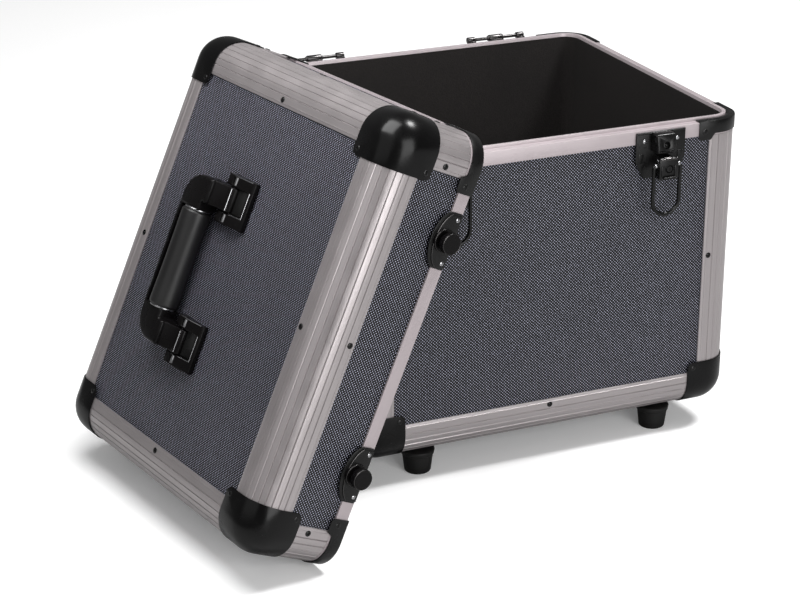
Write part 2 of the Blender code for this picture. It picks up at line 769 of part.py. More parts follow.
def latch_lever(name, parent):
    """Lever that hangs on the latch pin; its origin is the pin's axis."""
    half = LEVER_WIDTH / 2
    inner = LEVER_FRONT_OUT - LEVER_WALL
    piece = box(name, (-half, -LEVER_FRONT_OUT, -LEVER_LENGTH), (half, -inner, LEVER_RISE))
    pivot = -BAIL_PIVOT_DROP
    hole = BAIL_WIRE_RADIUS + BAIL_HOLE_PLAY
    for side in (-1, 1):
        near, far = sorted((side * (half - LEVER_WALL), side * half))
        cheek = box("cheek", (near, -LEVER_FRONT_OUT + LEVER_WALL / 2,
                              -LEVER_LENGTH + FIT_GAP),
                    (far, LEVER_CHEEK_BACK, LEVER_RISE - FIT_GAP))
        bore = rod("bore", hole, (near - CUT_OVERRUN, 0, pivot),
                   (far + CUT_OVERRUN, 0, pivot))
        piece = join(piece, cut(cheek, bore))
    ear_inner = LEVER_EAR_REACH - LEVER_EAR_WALL - LEVER_RUNNING_PLAY
    knuckle = rod("knuckle", LEVER_KNUCKLE_RADIUS, (-ear_inner, 0, 0), (ear_inner, 0, 0),
                  ROUND_STEPS)
    piece = join(piece, knuckle)
    pin_bore = rod("pin_bore", LEVER_PIN_RADIUS + LEVER_RUNNING_PLAY,
                   (-half + LEVER_WALL + FIT_GAP, 0, 0), (half - LEVER_WALL - FIT_GAP, 0, 0))
    piece = cut(piece, pin_bore)
    lip = box("lip", (-LEVER_LIP_WIDTH / 2, -LEVER_FRONT_OUT - LEVER_LIP_OUT,
                      -LEVER_LENGTH + FIT_GAP),
              (LEVER_LIP_WIDTH / 2, -inner - FIT_GAP, -LEVER_LENGTH + LEVER_LIP_HEIGHT))
    lock = rod("lock", LOCK_RADIUS, (0, -LEVER_FRONT_OUT - LOCK_PROUD, -LOCK_DROP),
               (0, -LEVER_FRONT_OUT + LEVER_WALL / 2, -LOCK_DROP))
    return keep(join(piece, lip, lock), "black_steel", parent, smooth=True)


def bail(name, parent):
    """Wire bail; its origin is the axis of its two ends in the lever."""
    half, bend = BAIL_HALF_WIDTH, BAIL_BEND_RADIUS
    end = LEVER_EAR_REACH + BAIL_END_INSET
    loop_top = half - BAIL_LENGTH
    right = [(end, 0.0)] + arc((half - bend, -bend), bend, 90, 0, BAIL_BEND_STEPS)
    bottom = arc((0, loop_top), half, 0, -180, BAIL_LOOP_STEPS)
    left = [(-x, z) for x, z in reversed(right)]
    points = [(x, 0, z) for x, z in right + bottom + left]
    return keep(wire(name, points, BAIL_WIRE_RADIUS), "wire", parent, smooth=True)


def latch(side_name, side, base):
    """One latch with its moving lever and bail."""
    place = (side * LATCH_OFFSET, -CASE_DEPTH / 2, RIM_PLANE)
    seat = empty("latch_seat_" + side_name, base, place)
    latch_plate("latch_plate_" + side_name, seat)
    axis = empty("lever_axis_" + side_name, seat, (0, -LEVER_AXIS_OUT, -LEVER_AXIS_DROP))
    latch_lever("latch_lever_" + side_name, axis)
    pivot = empty("bail_axis_" + side_name, axis, (0, 0, -BAIL_PIVOT_DROP))
    bail("latch_bail_" + side_name, pivot)


def strike(name, centre, parent):
    """Strike plate with its knob, on the lid's front wall."""
    wide, top_wide = STRIKE_WIDTH / 2, STRIKE_TOP_WIDTH / 2
    outline = [(-wide, STRIKE_SEAT), (wide, STRIKE_SEAT), (wide, STRIKE_SHOULDER),
               (top_wide, STRIKE_HEIGHT), (-top_wide, STRIKE_HEIGHT),
               (-wide, STRIKE_SHOULDER)]
    piece = prism(name, [outline], FIT_GAP, FIT_GAP + STRIKE_WALL)
    flange = FIT_GAP + STRIKE_WALL + KNOB_FLANGE_WALL
    neck = flange + KNOB_NECK_LENGTH
    cap = neck + KNOB_CAP_LENGTH
    edge = KNOB_EDGE_ROUND
    outline = [(0, cap)]
    outline += arc((KNOB_CAP_RADIUS - edge, cap - edge), edge, 90, 0, TAB_STEPS)
    outline += [(KNOB_CAP_RADIUS, neck), (KNOB_NECK_RADIUS, neck), (KNOB_NECK_RADIUS, flange)]
    outline += arc((KNOB_FLANGE_RADIUS - edge, flange - edge), edge, 90, 0, TAB_STEPS)
    outline += [(KNOB_FLANGE_RADIUS, FIT_GAP + STRIKE_WALL / 2), (0, FIT_GAP + STRIKE_WALL / 2)]
    knob = shifted(turned("knob", outline), y=KNOB_HEIGHT_ON_LID)
    piece = join(piece, knob)
    stand = Matrix(((1, 0, 0, centre), (0, 0, -1, -CASE_DEPTH / 2), (0, 1, 0, 0), (0, 0, 0, 1)))
    return keep(moved(piece, stand), "black_steel", parent, smooth=True)


def bracket_side_view(face):
    """Side view of a handle bracket, level at the pin and lower at its back."""
    low, high = face + FIT_GAP, face + HANDLE_BRACKET_HEIGHT
    back = HANDLE_PIVOT_Y - HANDLE_BRACKET_BACK
    front = HANDLE_PIVOT_Y + HANDLE_BRACKET_FRONT
    tail = face + HANDLE_BRACKET_TAIL
    edge = HANDLE_BRACKET_ROUND
    points = [(back, low), (front, low)]
    points += arc((front - edge, high - edge), edge, 0, 90, TAB_STEPS)
    points += [(HANDLE_PIVOT_Y - HANDLE_BARREL_RADIUS, high)]
    points += arc((back + edge, tail - edge), edge, 90, 180, TAB_STEPS)
    return points


def handle_bracket(name, side, face, parent):
    """Bracket that carries one end of the handle in a pocket between two cheeks."""
    centre = side * HANDLE_BRACKET_OFFSET
    half = HANDLE_BRACKET_WIDTH / 2
    pocket = HANDLE_POCKET_WIDTH / 2
    pivot = HANDLE_PIVOT_Y
    piece = moved(prism(name, [bracket_side_view(face)], centre - half, centre + half), SIDEWAYS)
    well = box("well", (centre - pocket, pivot - HANDLE_POCKET_BACK,
                        face + HANDLE_POCKET_FLOOR),
               (centre + pocket, pivot + HANDLE_BRACKET_FRONT + CUT_OVERRUN,
                face + HANDLE_BRACKET_HEIGHT + CUT_OVERRUN))
    axis_z = face + HANDLE_PIVOT_RISE
    bore = rod("bore", HANDLE_PIN_RADIUS + HANDLE_PIN_PLAY,
               (centre - half - CUT_OVERRUN, pivot, axis_z),
               (centre + half + CUT_OVERRUN, pivot, axis_z), ROUND_STEPS)
    return keep(cut(piece, well, bore), "black_steel", parent, smooth=True)


def elbow_outline():
    """Plan of one elbow of the handle, from the arm's root to the outer strap."""
    outer = HANDLE_BRACKET_OFFSET + HANDLE_ARM_WIDTH / 2
    inner = HANDLE_BRACKET_OFFSET - HANDLE_ARM_WIDTH / 2
    end = GRIP_LENGTH / 2 + FIT_GAP
    bend = HANDLE_ELBOW_ROUND
    points = [(inner, HANDLE_ELBOW_START), (outer, HANDLE_ELBOW_START)]
    points += arc((outer - bend, HANDLE_REACH - bend), bend, 0, 90, CORNER_STEPS)
    points += [(end, HANDLE_REACH), (end, HANDLE_ELBOW_STEP), (inner, HANDLE_ELBOW_STEP)]
    return points


def handle_frame(name, parent):
    """Handle frame: two arms with pins, elbows, outer strap and the grip's core."""
    half_arm = HANDLE_ARM_WIDTH / 2
    centre = HANDLE_BRACKET_OFFSET
    low = -HANDLE_ARM_HALF_HEIGHT
    edge = FIT_GAP
    strap_low = HANDLE_REACH - HANDLE_STRAP_WALL
    end = GRIP_LENGTH / 2
    piece = box(name, (-end - HANDLE_STRAP_WALL, strap_low, low + edge),
                (end + HANDLE_STRAP_WALL, HANDLE_REACH - edge, HANDLE_ELBOW_TOP - edge))
    for side in (-1, 1):
        elbow = prism("elbow", [elbow_outline()], low, HANDLE_ELBOW_TOP)
        root = box("root", (centre - half_arm + edge, 0, low + edge),
                   (centre + half_arm - edge, HANDLE_ELBOW_START + edge,
                    HANDLE_ARM_HALF_HEIGHT - edge))
        barrel = rod("barrel", HANDLE_BARREL_RADIUS, (centre - half_arm, 0, 0),
                     (centre + half_arm, 0, 0), ROUND_STEPS)
        reach = HANDLE_BRACKET_WIDTH / 2 - HANDLE_PIN_INSET
        pin = rod("pin", HANDLE_PIN_RADIUS, (centre - reach, 0, 0), (centre + reach, 0, 0),
                  ROUND_STEPS)
        arm = join(elbow, root, barrel, pin)
        if side < 0:
            arm = moved(arm, Matrix.Scale(-1, 4, X))
        piece = join(piece, arm)
    core = rod("core", GRIP_CORE_RADIUS,
               (-end - HANDLE_STRAP_WALL, GRIP_OUT, GRIP_RISE),
               (end + HANDLE_STRAP_WALL, GRIP_OUT, GRIP_RISE), ROUND_STEPS)
    return keep(join(piece, core), "black_steel", parent, smooth=True)


def handle_grip(name, parent):
    """Rubber grip on the core, a little slimmer at mid length."""
    half = GRIP_LENGTH / 2
    edge = GRIP_END_ROUND
    bore = GRIP_CORE_RADIUS + FIT_GAP
    outline = [(bore, half)]
    outline += arc((GRIP_RADIUS - edge, half - edge), edge, 90, 0, TAB_STEPS)
    outline += [(GRIP_RADIUS - GRIP_WAIST, 0)]
    outline += arc((GRIP_RADIUS - edge, -half + edge), edge, 0, -90, TAB_STEPS)
    outline += [(bore, -half), (bore, half)]
    piece = moved(turned(name, outline), Matrix.Rotation(math.pi / 2, 4, "Y"))
    return keep(shifted(piece, y=GRIP_OUT, z=GRIP_RISE), "rubber", parent, smooth=True)


def edge_profiles(prefix, height, upwards, parent):
    """The four profiles along the long and short edges at one height."""
    half_x, half_y = CASE_LENGTH / 2, CASE_DEPTH / 2
    run_x = CASE_LENGTH - 2 * (PROFILE_LEG + FIT_GAP)
    run_y = CASE_DEPTH - 2 * (PROFILE_LEG + FIT_GAP)
    if upwards:
        legs = {"front": (Y, Z), "back": (Z, -Y), "left": (Z, X), "right": (-X, Z)}
    else:
        legs = {"front": (-Z, Y), "back": (-Y, -Z), "left": (X, -Z), "right": (-Z, -X)}
    places = {"front": (0, -half_y, run_x), "back": (0, half_y, run_x),
              "left": (-half_x, 0, run_y), "right": (half_x, 0, run_y)}
    for side, (leg_u, leg_v) in legs.items():
        x, y, run = places[side]
        frame = edge_frame(Vector((x, y, height)), leg_u, leg_v)
        profile(prefix + "_edge_profile_" + side, frame, run, parent)


def upright_profiles(prefix, low, high, parent):
    """The four upright corner profiles between two heights."""
    for name, sx, sy, quarter in CORNERS:
        frame = corner_frame(sx, sy, quarter, (low + high) / 2)
        profile(prefix + "_corner_profile_" + name, frame, high - low, parent)


def build_base(parent):
    """Everything that stays with the base."""
    base = empty("base_frame", parent)
    floor = FOOT_HEIGHT
    half_x, half_y = CASE_LENGTH / 2, CASE_DEPTH / 2
    run_x, run_y = half_x - PANEL_EDGE, half_y - PANEL_EDGE
    panel_top = RIM_PLANE - RIM_TOP_WALL - FIT_GAP
    panel("base_floor_panel", (-run_x, -run_y, floor + PANEL_FACE),
          (run_x, run_y, floor + PANEL_FACE + PANEL_THICKNESS), base)
    wall_panels("base", floor + PANEL_EDGE, panel_top, base)
    lining("base_lining", floor + FLANGE_INNER + LINING_SEAT, RIM_PLANE - FIT_GAP, base)
    edge_profiles("base", floor, True, base)
    upright_profiles("base", floor + PROFILE_LEG + FIT_GAP,
                     RIM_PLANE - RIM_HEIGHT - FIT_GAP, base)
    keep(rim("base_rim", RIM_PLANE, True, False), "bright_aluminium", base, smooth=True)
    for name, sx, sy, quarter in CORNERS:
        ball_corner("base_ball_corner_" + name, corner_frame(sx, sy, quarter, floor), base)
        rim_bracket("base_rim_bracket_" + name,
                    corner_frame(sx, sy, quarter, RIM_PLANE), base)
        foot("foot_" + name, sx * (half_x - FOOT_INSET_X), sy * (half_y - FOOT_INSET_Y), base)
    for side_name, side in SIDES:
        base_hinge("base_hinge_" + side_name, side * HINGE_OFFSET, base)
        latch(side_name, side, base)
    return base


def lid_rim(name, parent):
    """Lid rim with its corner brackets and hinge hooks, held by their screws."""
    piece = rim(name, 0, False, True)
    for _, sx, sy, quarter in CORNERS:
        frame = corner_frame(sx, sy, quarter, 0)
        bracket = join(bracket_shape("bracket"), *bracket_screws())
        piece = join(piece, moved(bracket, frame))
    piece = moved(piece, Matrix.Rotation(math.pi, 4, "X"))
    for _, side in SIDES:
        piece = join(piece, lid_hinge("hinge", side * HINGE_OFFSET))
    return keep(piece, "bright_aluminium", parent, smooth=True)


def build_lid(parent):
    """The lid in its own frame: Z from the rim plane to the top, as when closed."""
    lid = empty("lid_frame", parent)
    half_x, half_y = CASE_LENGTH / 2, CASE_DEPTH / 2
    run_x, run_y = half_x - PANEL_EDGE, half_y - PANEL_EDGE
    face = LID_HEIGHT - PANEL_FACE
    panel("lid_top_panel", (-run_x, -run_y, face - PANEL_THICKNESS), (run_x, run_y, face), lid)
    wall_panels("lid", RIM_TOP_WALL + FIT_GAP, LID_HEIGHT - PANEL_EDGE, lid)
    turn_over = Matrix.Rotation(math.pi, 4, "X")
    inside = lining("lid_lining", -(LID_HEIGHT - FLANGE_INNER - LINING_SEAT), -FIT_GAP, lid)
    moved(inside, turn_over)
    edge_profiles("lid", LID_HEIGHT, False, lid)
    upright_profiles("lid", RIM_HEIGHT + FIT_GAP, LID_HEIGHT - PROFILE_LEG - FIT_GAP, lid)
    lid_rim("lid_rim", lid)
    for name, sx, sy, quarter in CORNERS:
        frame = corner_frame(sx, sy, quarter, LID_HEIGHT, flip=True)
        ball_corner("lid_ball_corner_" + name, frame, lid)
    for side_name, side in SIDES:
        strike("lid_strike_" + side_name, side * LATCH_OFFSET, lid)
        handle_bracket("handle_bracket_" + side_name, side, face, lid)
    axis = empty("handle_axis", lid, (0, HANDLE_PIVOT_Y, face + HANDLE_PIVOT_RISE))
    handle_frame("handle_frame", axis)
    handle_grip("handle_grip", axis)
    return lid


def surface_of(frame):
    """Points and faces of every piece that a frame carries."""
    bpy.context.view_layer.update()
    points, faces = [], []
    for thing in frame.children_recursive:
        if thing.type == "MESH":
            first = len(points)
            points += [thing.matrix_world @ vertex.co for vertex in thing.data.vertices]
            faces += [[first + corner for corner in face.vertices]
                      for face in thing.data.polygons]
    return points, faces


def meets(resting, points, faces, place):
    """Whether a surface shifted along X meets a resting one."""
    shift = Vector((place, 0, 0))
    loose = BVHTree.FromPolygons([point + shift for point in points], faces)
    return bool(loose.overlap(resting))


def lean_lid(base, lid):
    """Stand the lid on its lower rim edge and slide it along X until it meets the base."""
    turn = Matrix.Rotation(LID_YAW, 4, "Z") @ Matrix.Rotation(-LID_TILT, 4, "Y")
    flange = FIT_GAP + BRACKET_FLANGE_WALL
    rise = math.sin(LID_TILT) * (CASE_LENGTH / 2 + PROUD) + math.cos(LID_TILT) * flange
    stand = Matrix.Translation((0, -LID_SHIFT_FORWARD, rise + FIT_GAP)) @ turn
    lid.matrix_basis = stand
    base_points, base_faces = surface_of(base)
    points, faces = surface_of(lid)
    resting = BVHTree.FromPolygons(base_points, base_faces)
    place = min(point.x for point in base_points) - max(point.x for point in points)
    step = LEAN_STEP
    while step > FIT_GAP / 4:
        while not meets(resting, points, faces, place + step):
            place += step
        step /= 2
    place -= FIT_GAP / math.sin(LID_TILT)
    lid.matrix_basis = Matrix.Translation((place, 0, 0)) @ stand


def stand_on_origin(assembly):
    """Put the middle of the whole footprint at the origin."""
    bpy.context.view_layer.update()
    low, high = Vector((math.inf,) * 3), Vector((-math.inf,) * 3)
    for thing in bpy.data.collections["record_carrying_case"].objects:
        for vertex in thing.data.vertices:
            place = thing.matrix_world @ vertex.co
            low = Vector(map(min, low, place))
            high = Vector(map(max, high, place))
    assembly.location = (-(low.x + high.x) / 2, -(low.y + high.y) / 2, -low.z)
    bpy.context.view_layer.update()


def main():
    """Build the whole case."""
    clear_scene()
    new_collection("record_carrying_case")
    new_collection("case_cutters")
    assembly = empty("case_origin")
    base = build_base(assembly)
    lid = build_lid(assembly)
    lean_lid(base, lid)
    stand_on_origin(assembly)


main()
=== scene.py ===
"""Studio scene of a record carrying case with its lid leaning on the base.

Every visible piece is built in metres in the frame of the base or of the lid
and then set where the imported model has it.
"""

import json
import logging
import math
from dataclasses import dataclass
from enum import Enum
from typing import Callable, Iterable, Sequence

import bmesh
import bpy
from mathutils import Matrix, Vector


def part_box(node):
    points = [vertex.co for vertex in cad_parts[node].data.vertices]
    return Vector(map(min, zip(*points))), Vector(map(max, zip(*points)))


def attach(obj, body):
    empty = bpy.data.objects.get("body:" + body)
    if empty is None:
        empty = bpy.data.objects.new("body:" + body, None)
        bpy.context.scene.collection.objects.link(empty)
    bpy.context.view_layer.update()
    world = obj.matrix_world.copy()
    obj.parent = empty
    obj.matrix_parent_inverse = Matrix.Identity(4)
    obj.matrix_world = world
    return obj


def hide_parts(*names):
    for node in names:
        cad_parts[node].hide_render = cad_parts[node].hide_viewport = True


LOG = logging.getLogger("record_case")

Point2 = tuple[float, float]
Point3 = tuple[float, float, float]
Colour = tuple[float, float, float]
Places = list[tuple[Point3, Point3]]
Piece = bpy.types.Object
Sockets = bpy.types.bpy_prop_collection
Value = bpy.types.NodeSocket | float | tuple[float, ...]


# Sizes


@dataclass(frozen=True)
class CaseSizes:
    """Overall sizes of base and lid, in metres."""

    length: float = 0.365
    depth: float = 0.3125
    foot_height: float = 0.022
    rim_plane: float = 0.292
    lid_height: float = 0.089
    gap: float = 0.0003
    corner_radius: float = 0.025


@dataclass(frozen=True)
class MeshLimits:
    """Distances and angles used when meshes are cleaned."""

    weld: float = 1e-6
    flat: float = math.radians(1)
    curve_flat: float = math.radians(0.5)


CASE = CaseSizes()
LIMITS = MeshLimits()
HALF_X = CASE.length / 2
HALF_Y = CASE.depth / 2

CORNERS: tuple[tuple[str, int, int, int], ...] = (
    ("front_left", -1, -1, 0),
    ("front_right", 1, -1, 1),
    ("back_right", 1, 1, 2),
    ("back_left", -1, 1, 3),
)
SIDES: tuple[tuple[str, int], ...] = (("left", -1), ("right", 1))
LID_FLIP = Matrix(((0, 1, 0, 0), (1, 0, 0, 0), (0, 0, -1, 0), (0, 0, 0, 1)))
STAND = Matrix(((1, 0, 0, 0), (0, 0, -1, 0), (0, 1, 0, 0), (0, 0, 0, 1)))
SIDEWAYS = Matrix(((0, 0, 1, 0), (1, 0, 0, 0), (0, 1, 0, 0), (0, 0, 0, 1)))
QUARTER = Matrix.Rotation(math.pi / 2, 4, "X")


class Home(Enum):
    """Frame that a piece is built in."""

    BASE = "base"
    LID = "lid"


# Finishes


@dataclass(frozen=True)
class MetalFinish:
    """Extruded or pressed metal seen bare."""

    base: Colour
    dark: Colour
    roughness: float
    streaks: float
    bump: float
    metallic: float = 1.0
    smudge: Point2 = (0.05, 0.08)  # how far smudges move the roughness down and up
    relief: float = 0.0001


@dataclass(frozen=True)
class CoatFinish:
    """Black paint, plating or moulded rubber."""

    base: Colour
    worn: Colour
    roughness: float
    spread: float
    grain: float
    bump: float
    specular: float = 0.5
    metallic: float = 0.0
    relief: float = 0.0002


@dataclass(frozen=True)
class LaminateFinish:
    """Embossed laminate of the boards, whose raised diamonds are painted light as painted highlights."""

    low: Colour
    # painted highlight: light colour of the raised diamonds, standing in for their glints
    high: Colour
    pitch: float
    bump: float
    roughness: float
    faintest: float = 0.72
    smudge: Point2 = (0.04, 0.07)
    specular: float = 0.32
    relief: float = 0.0003


@dataclass(frozen=True)
class ClothFinish:
    """Short-napped lining cloth."""

    base: Colour
    nap: Colour
    scale: float
    bump: float
    faintest: float = 0.55
    roughness: float = 0.92
    sheen: float = 0.02
    sheen_roughness: float = 0.5
    specular: float = 0.25
    relief: float = 0.0004


Finish = MetalFinish | CoatFinish | LaminateFinish | ClothFinish

ALUMINIUM = MetalFinish((0.395, 0.364, 0.368), (0.275, 0.251, 0.255), 0.33, 0.50, 0.10, 0.66)
BRIGHT = MetalFinish((0.43, 0.378, 0.392), (0.35, 0.306, 0.318), 0.34, 0.40, 0.08, 0.30)
# the two metals below also paint thin lines and sleeves that are painted highlights on black parts
CHROME = MetalFinish((0.42, 0.42, 0.43), (0.30, 0.30, 0.31), 0.22, 0.3, 0.02)
GUNMETAL = MetalFinish((0.075, 0.072, 0.072), (0.045, 0.043, 0.042), 0.24, 0.4, 0.05)
BALL_BLACK = CoatFinish((0.0016, 0.0015, 0.0016), (0.0035, 0.0034, 0.0034), 0.22, 0.06, 900.0, 0.03, 0.20)
STEEL_BLACK = CoatFinish((0.0032, 0.0032, 0.0032), (0.008, 0.008, 0.008), 0.28, 0.10, 1400.0, 0.06, 0.26)
WIRE_BLACK = CoatFinish((0.0030, 0.0030, 0.0031), (0.009, 0.009, 0.009), 0.28, 0.10, 1500.0, 0.04, 0.25)
HANDLE_BLACK = CoatFinish((0.0032, 0.0028, 0.0030), (0.006, 0.006, 0.006), 0.28, 0.08, 1800.0, 0.06, 0.12)
GRIP_RUBBER = CoatFinish((0.0034, 0.0032, 0.0034), (0.006, 0.006, 0.006), 0.42, 0.06, 2600.0, 0.06, 0.50)
FOOT_RUBBER = CoatFinish((0.0050, 0.0048, 0.0046), (0.012, 0.011, 0.011), 0.50, 0.10, 1600.0, 0.12, 0.25)
SCREW_BLACK = CoatFinish((0.008, 0.008, 0.008), (0.030, 0.028, 0.028), 0.20, 0.08, 2500.0, 0.03, 0.6, 0.6)
# the laminate paints its raised diamonds in the light high colour as painted highlights on a near-black
# ground
LAMINATE = LaminateFinish((0.0010, 0.0010, 0.0017), (0.710, 0.724, 0.915), 0.00200, 0.50, 0.46)
LINING = ClothFinish((0.0028, 0.0021, 0.0019), (0.0084, 0.0066, 0.0061), 900.0, 0.5)


# Shader nodes


class Sheet:
    """Small helper that adds and links the nodes of one tree."""

    def __init__(self, tree: bpy.types.NodeTree) -> None:
        """Start at the left of a tree."""
        self.tree = tree
        self.column = 0

    def add(self, kind: str, inputs: dict[str | int, Value] | None = None,
            **settings: object) -> bpy.types.Node:
        """Add a node, set its properties, and set or link its inputs.

        Args:
            kind: The node's type name.
            inputs: Values or sockets by input name or number.
            settings: Properties of the node.

        Returns:
            The new node.
        """
        node = self.tree.nodes.new(kind)
        node.location = (self.column, 0)
        self.column += 180
        for name, value in settings.items():
            setattr(node, name, value)
        self.fill(node, inputs or {})
        return node

    def fill(self, node: bpy.types.Node, inputs: dict[str | int, Value]) -> None:
        """Set or link a node's inputs.

        Args:
            node: The node.
            inputs: Values or sockets by input name or number.
        """
        for key, value in inputs.items():
            socket = node.inputs[key]
            if isinstance(value, bpy.types.NodeSocket):
                self.tree.links.new(value, socket)
            else:
                socket.default_value = value

    def math(self, operation: str, *values: Value) -> bpy.types.NodeSocket:
        """Add a Math node and return its output."""
        node = self.add("ShaderNodeMath", dict(enumerate(values)), operation=operation)
        return node.outputs[0]

    def vector(self, operation: str, *values: Value) -> bpy.types.NodeSocket:
        """Add a Vector Math node and return its vector output."""
        node = self.add("ShaderNodeVectorMath", dict(enumerate(values)), operation=operation)
        return node.outputs[0]

    def spread(self, value: Value, low: float, high: float, to_low: float, to_high: float,
               kind: str = "LINEAR") -> bpy.types.NodeSocket:
        """Map a value from one range to another."""
        inputs = {0: value, 1: low, 2: high, 3: to_low, 4: to_high}
        return self.add("ShaderNodeMapRange", inputs, interpolation_type=kind).outputs[0]

    def noise(self, vector: Value, scale: Value, detail: float = 3.0) -> bpy.types.NodeSocket:
        """Add a Noise Texture and return its factor."""
        inputs = {"Vector": vector, "Scale": scale, "Detail": detail}
        return self.add("ShaderNodeTexNoise", inputs).outputs[0]


def new_group(name: str, inputs: str, outputs: str) -> tuple[Sheet, bpy.types.Node, bpy.types.Node]:
    """Start a shader group with named sockets.

    Args:
        name: Name of the group.
        inputs: Names of its inputs, with spaces between them.
        outputs: Names of its outputs, with spaces between them.

    Returns:
        The sheet, the group's input node and its output node.
    """
    tree = bpy.data.node_groups.new(name, "ShaderNodeTree")
    for way, labels in (("INPUT", inputs), ("OUTPUT", outputs)):
        for label in labels.split():
            kind = "NodeSocketVector" if label == "Vector" else "NodeSocketFloat"
            tree.interface.new_socket(label, in_out=way, socket_type=kind)
    sheet = Sheet(tree)
    return sheet, sheet.add("NodeGroupInput"), sheet.add("NodeGroupOutput")


def streak_group() -> bpy.types.NodeTree:
    """Fine lines along a piece's length, with soft smudges over them.

    Returns:
        The group's tree.
    """
    sheet, source, sink = new_group("extrusion_streaks", "Vector", "Tone Smudge Height")
    vector = source.outputs["Vector"]
    fine = sheet.noise(sheet.vector("MULTIPLY", vector, (10.0, 5200.0, 1.0)), 1.0, 2.0)
    wide = sheet.noise(sheet.vector("MULTIPLY", vector, (5.0, 620.0, 1.0)), 1.0, 3.0)
    smudge = sheet.noise(vector, 38.0, 4.0)
    tone = sheet.math("ADD", sheet.math("MULTIPLY", fine, 0.55), sheet.math("MULTIPLY", wide, 0.45))
    links = sheet.tree.links
    links.new(sheet.spread(tone, 0.35, 0.65, 0.0, 1.0), sink.inputs["Tone"])
    links.new(sheet.spread(smudge, 0.35, 0.7, 0.0, 1.0, "SMOOTHSTEP"), sink.inputs["Smudge"])
    links.new(fine, sink.inputs["Height"])
    return sheet.tree


def emboss_group() -> bpy.types.NodeTree:
    """Lattice of small raised diamonds with a mask that paints them as painted highlights, and a slight
    change from one to the next.

    Returns:
        The group's tree.
    """
    sheet, source, sink = new_group("diamond_emboss_painted_highlights", "Vector Pitch", "Raised Cell Cloud Height")
    vector = source.outputs["Vector"]
    scale = sheet.math("DIVIDE", 1.0, source.outputs["Pitch"])
    scaled = sheet.add("ShaderNodeVectorMath", {0: vector, "Scale": scale}, operation="SCALE")
    turned = sheet.add("ShaderNodeVectorRotate",
                       {"Vector": scaled.outputs[0], "Axis": (0, 0, 1), "Angle": math.pi / 4})
    cell = sheet.vector("FLOOR", turned.outputs[0])
    part = sheet.vector("ABSOLUTE", sheet.vector("SUBTRACT", sheet.vector("FRACTION", turned.outputs[0]),
                                                 (0.5, 0.5, 0.5)))
    split = sheet.add("ShaderNodeSeparateXYZ", {0: part})
    far = sheet.math("MAXIMUM", split.outputs[0], split.outputs[1])
    total = sheet.math("MULTIPLY", sheet.math("ADD", split.outputs[0], split.outputs[1]), 0.5)
    distance = sheet.math("ADD", sheet.math("MULTIPLY", far, 0.6), sheet.math("MULTIPLY", total, 0.5))
    raised = sheet.spread(distance, 0.09, 0.19, 1.0, 0.0, "SMOOTHSTEP")
    random = sheet.add("ShaderNodeTexWhiteNoise", {"Vector": cell}, noise_dimensions="3D")
    cloud = sheet.noise(vector, 22.0, 3.0)
    links = sheet.tree.links
    # painted highlight mask of the raised diamonds
    links.new(raised, sink.inputs["Raised"])
    links.new(random.outputs["Value"], sink.inputs["Cell"])
    links.new(cloud, sink.inputs["Cloud"])
    links.new(sheet.spread(distance, 0.12, 0.45, 1.0, 0.0, "SMOOTHSTEP"), sink.inputs["Height"])
    return sheet.tree


def coat_group() -> bpy.types.NodeTree:
    """Fine grain and faint handling marks of a black coat.

    Returns:
        The group's tree.
    """
    sheet, source, sink = new_group("coat_grain", "Vector Grain", "Wear Smudge Height")
    vector = source.outputs["Vector"]
    grain = sheet.noise(vector, source.outputs["Grain"], 2.0)
    smudge = sheet.noise(vector, 55.0, 4.0)
    flecks = sheet.noise(vector, 420.0, 5.0)
    links = sheet.tree.links
    links.new(sheet.spread(flecks, 0.60, 0.78, 0.0, 1.0, "SMOOTHSTEP"), sink.inputs["Wear"])
    links.new(sheet.spread(smudge, 0.35, 0.68, 0.0, 1.0, "SMOOTHSTEP"), sink.inputs["Smudge"])
    links.new(grain, sink.inputs["Height"])
    return sheet.tree


def nap_group() -> bpy.types.NodeTree:
    """Short nap with soft patches where it lies another way.

    Returns:
        The group's tree.
    """
    sheet, source, sink = new_group("cloth_nap", "Vector Scale", "Fibre Patch Height")
    vector = source.outputs["Vector"]
    fibre = sheet.noise(vector, source.outputs["Scale"], 4.0)
    patch = sheet.noise(vector, 14.0, 3.0)
    soft = sheet.noise(vector, 60.0, 2.0)
    links = sheet.tree.links
    links.new(sheet.spread(fibre, 0.3, 0.7, 0.0, 1.0), sink.inputs["Fibre"])
    links.new(sheet.spread(patch, 0.35, 0.65, 0.0, 1.0, "SMOOTHSTEP"), sink.inputs["Patch"])
    height = sheet.math("ADD", fibre, sheet.math("MULTIPLY", soft, 1.5))
    links.new(height, sink.inputs["Height"])
    return sheet.tree


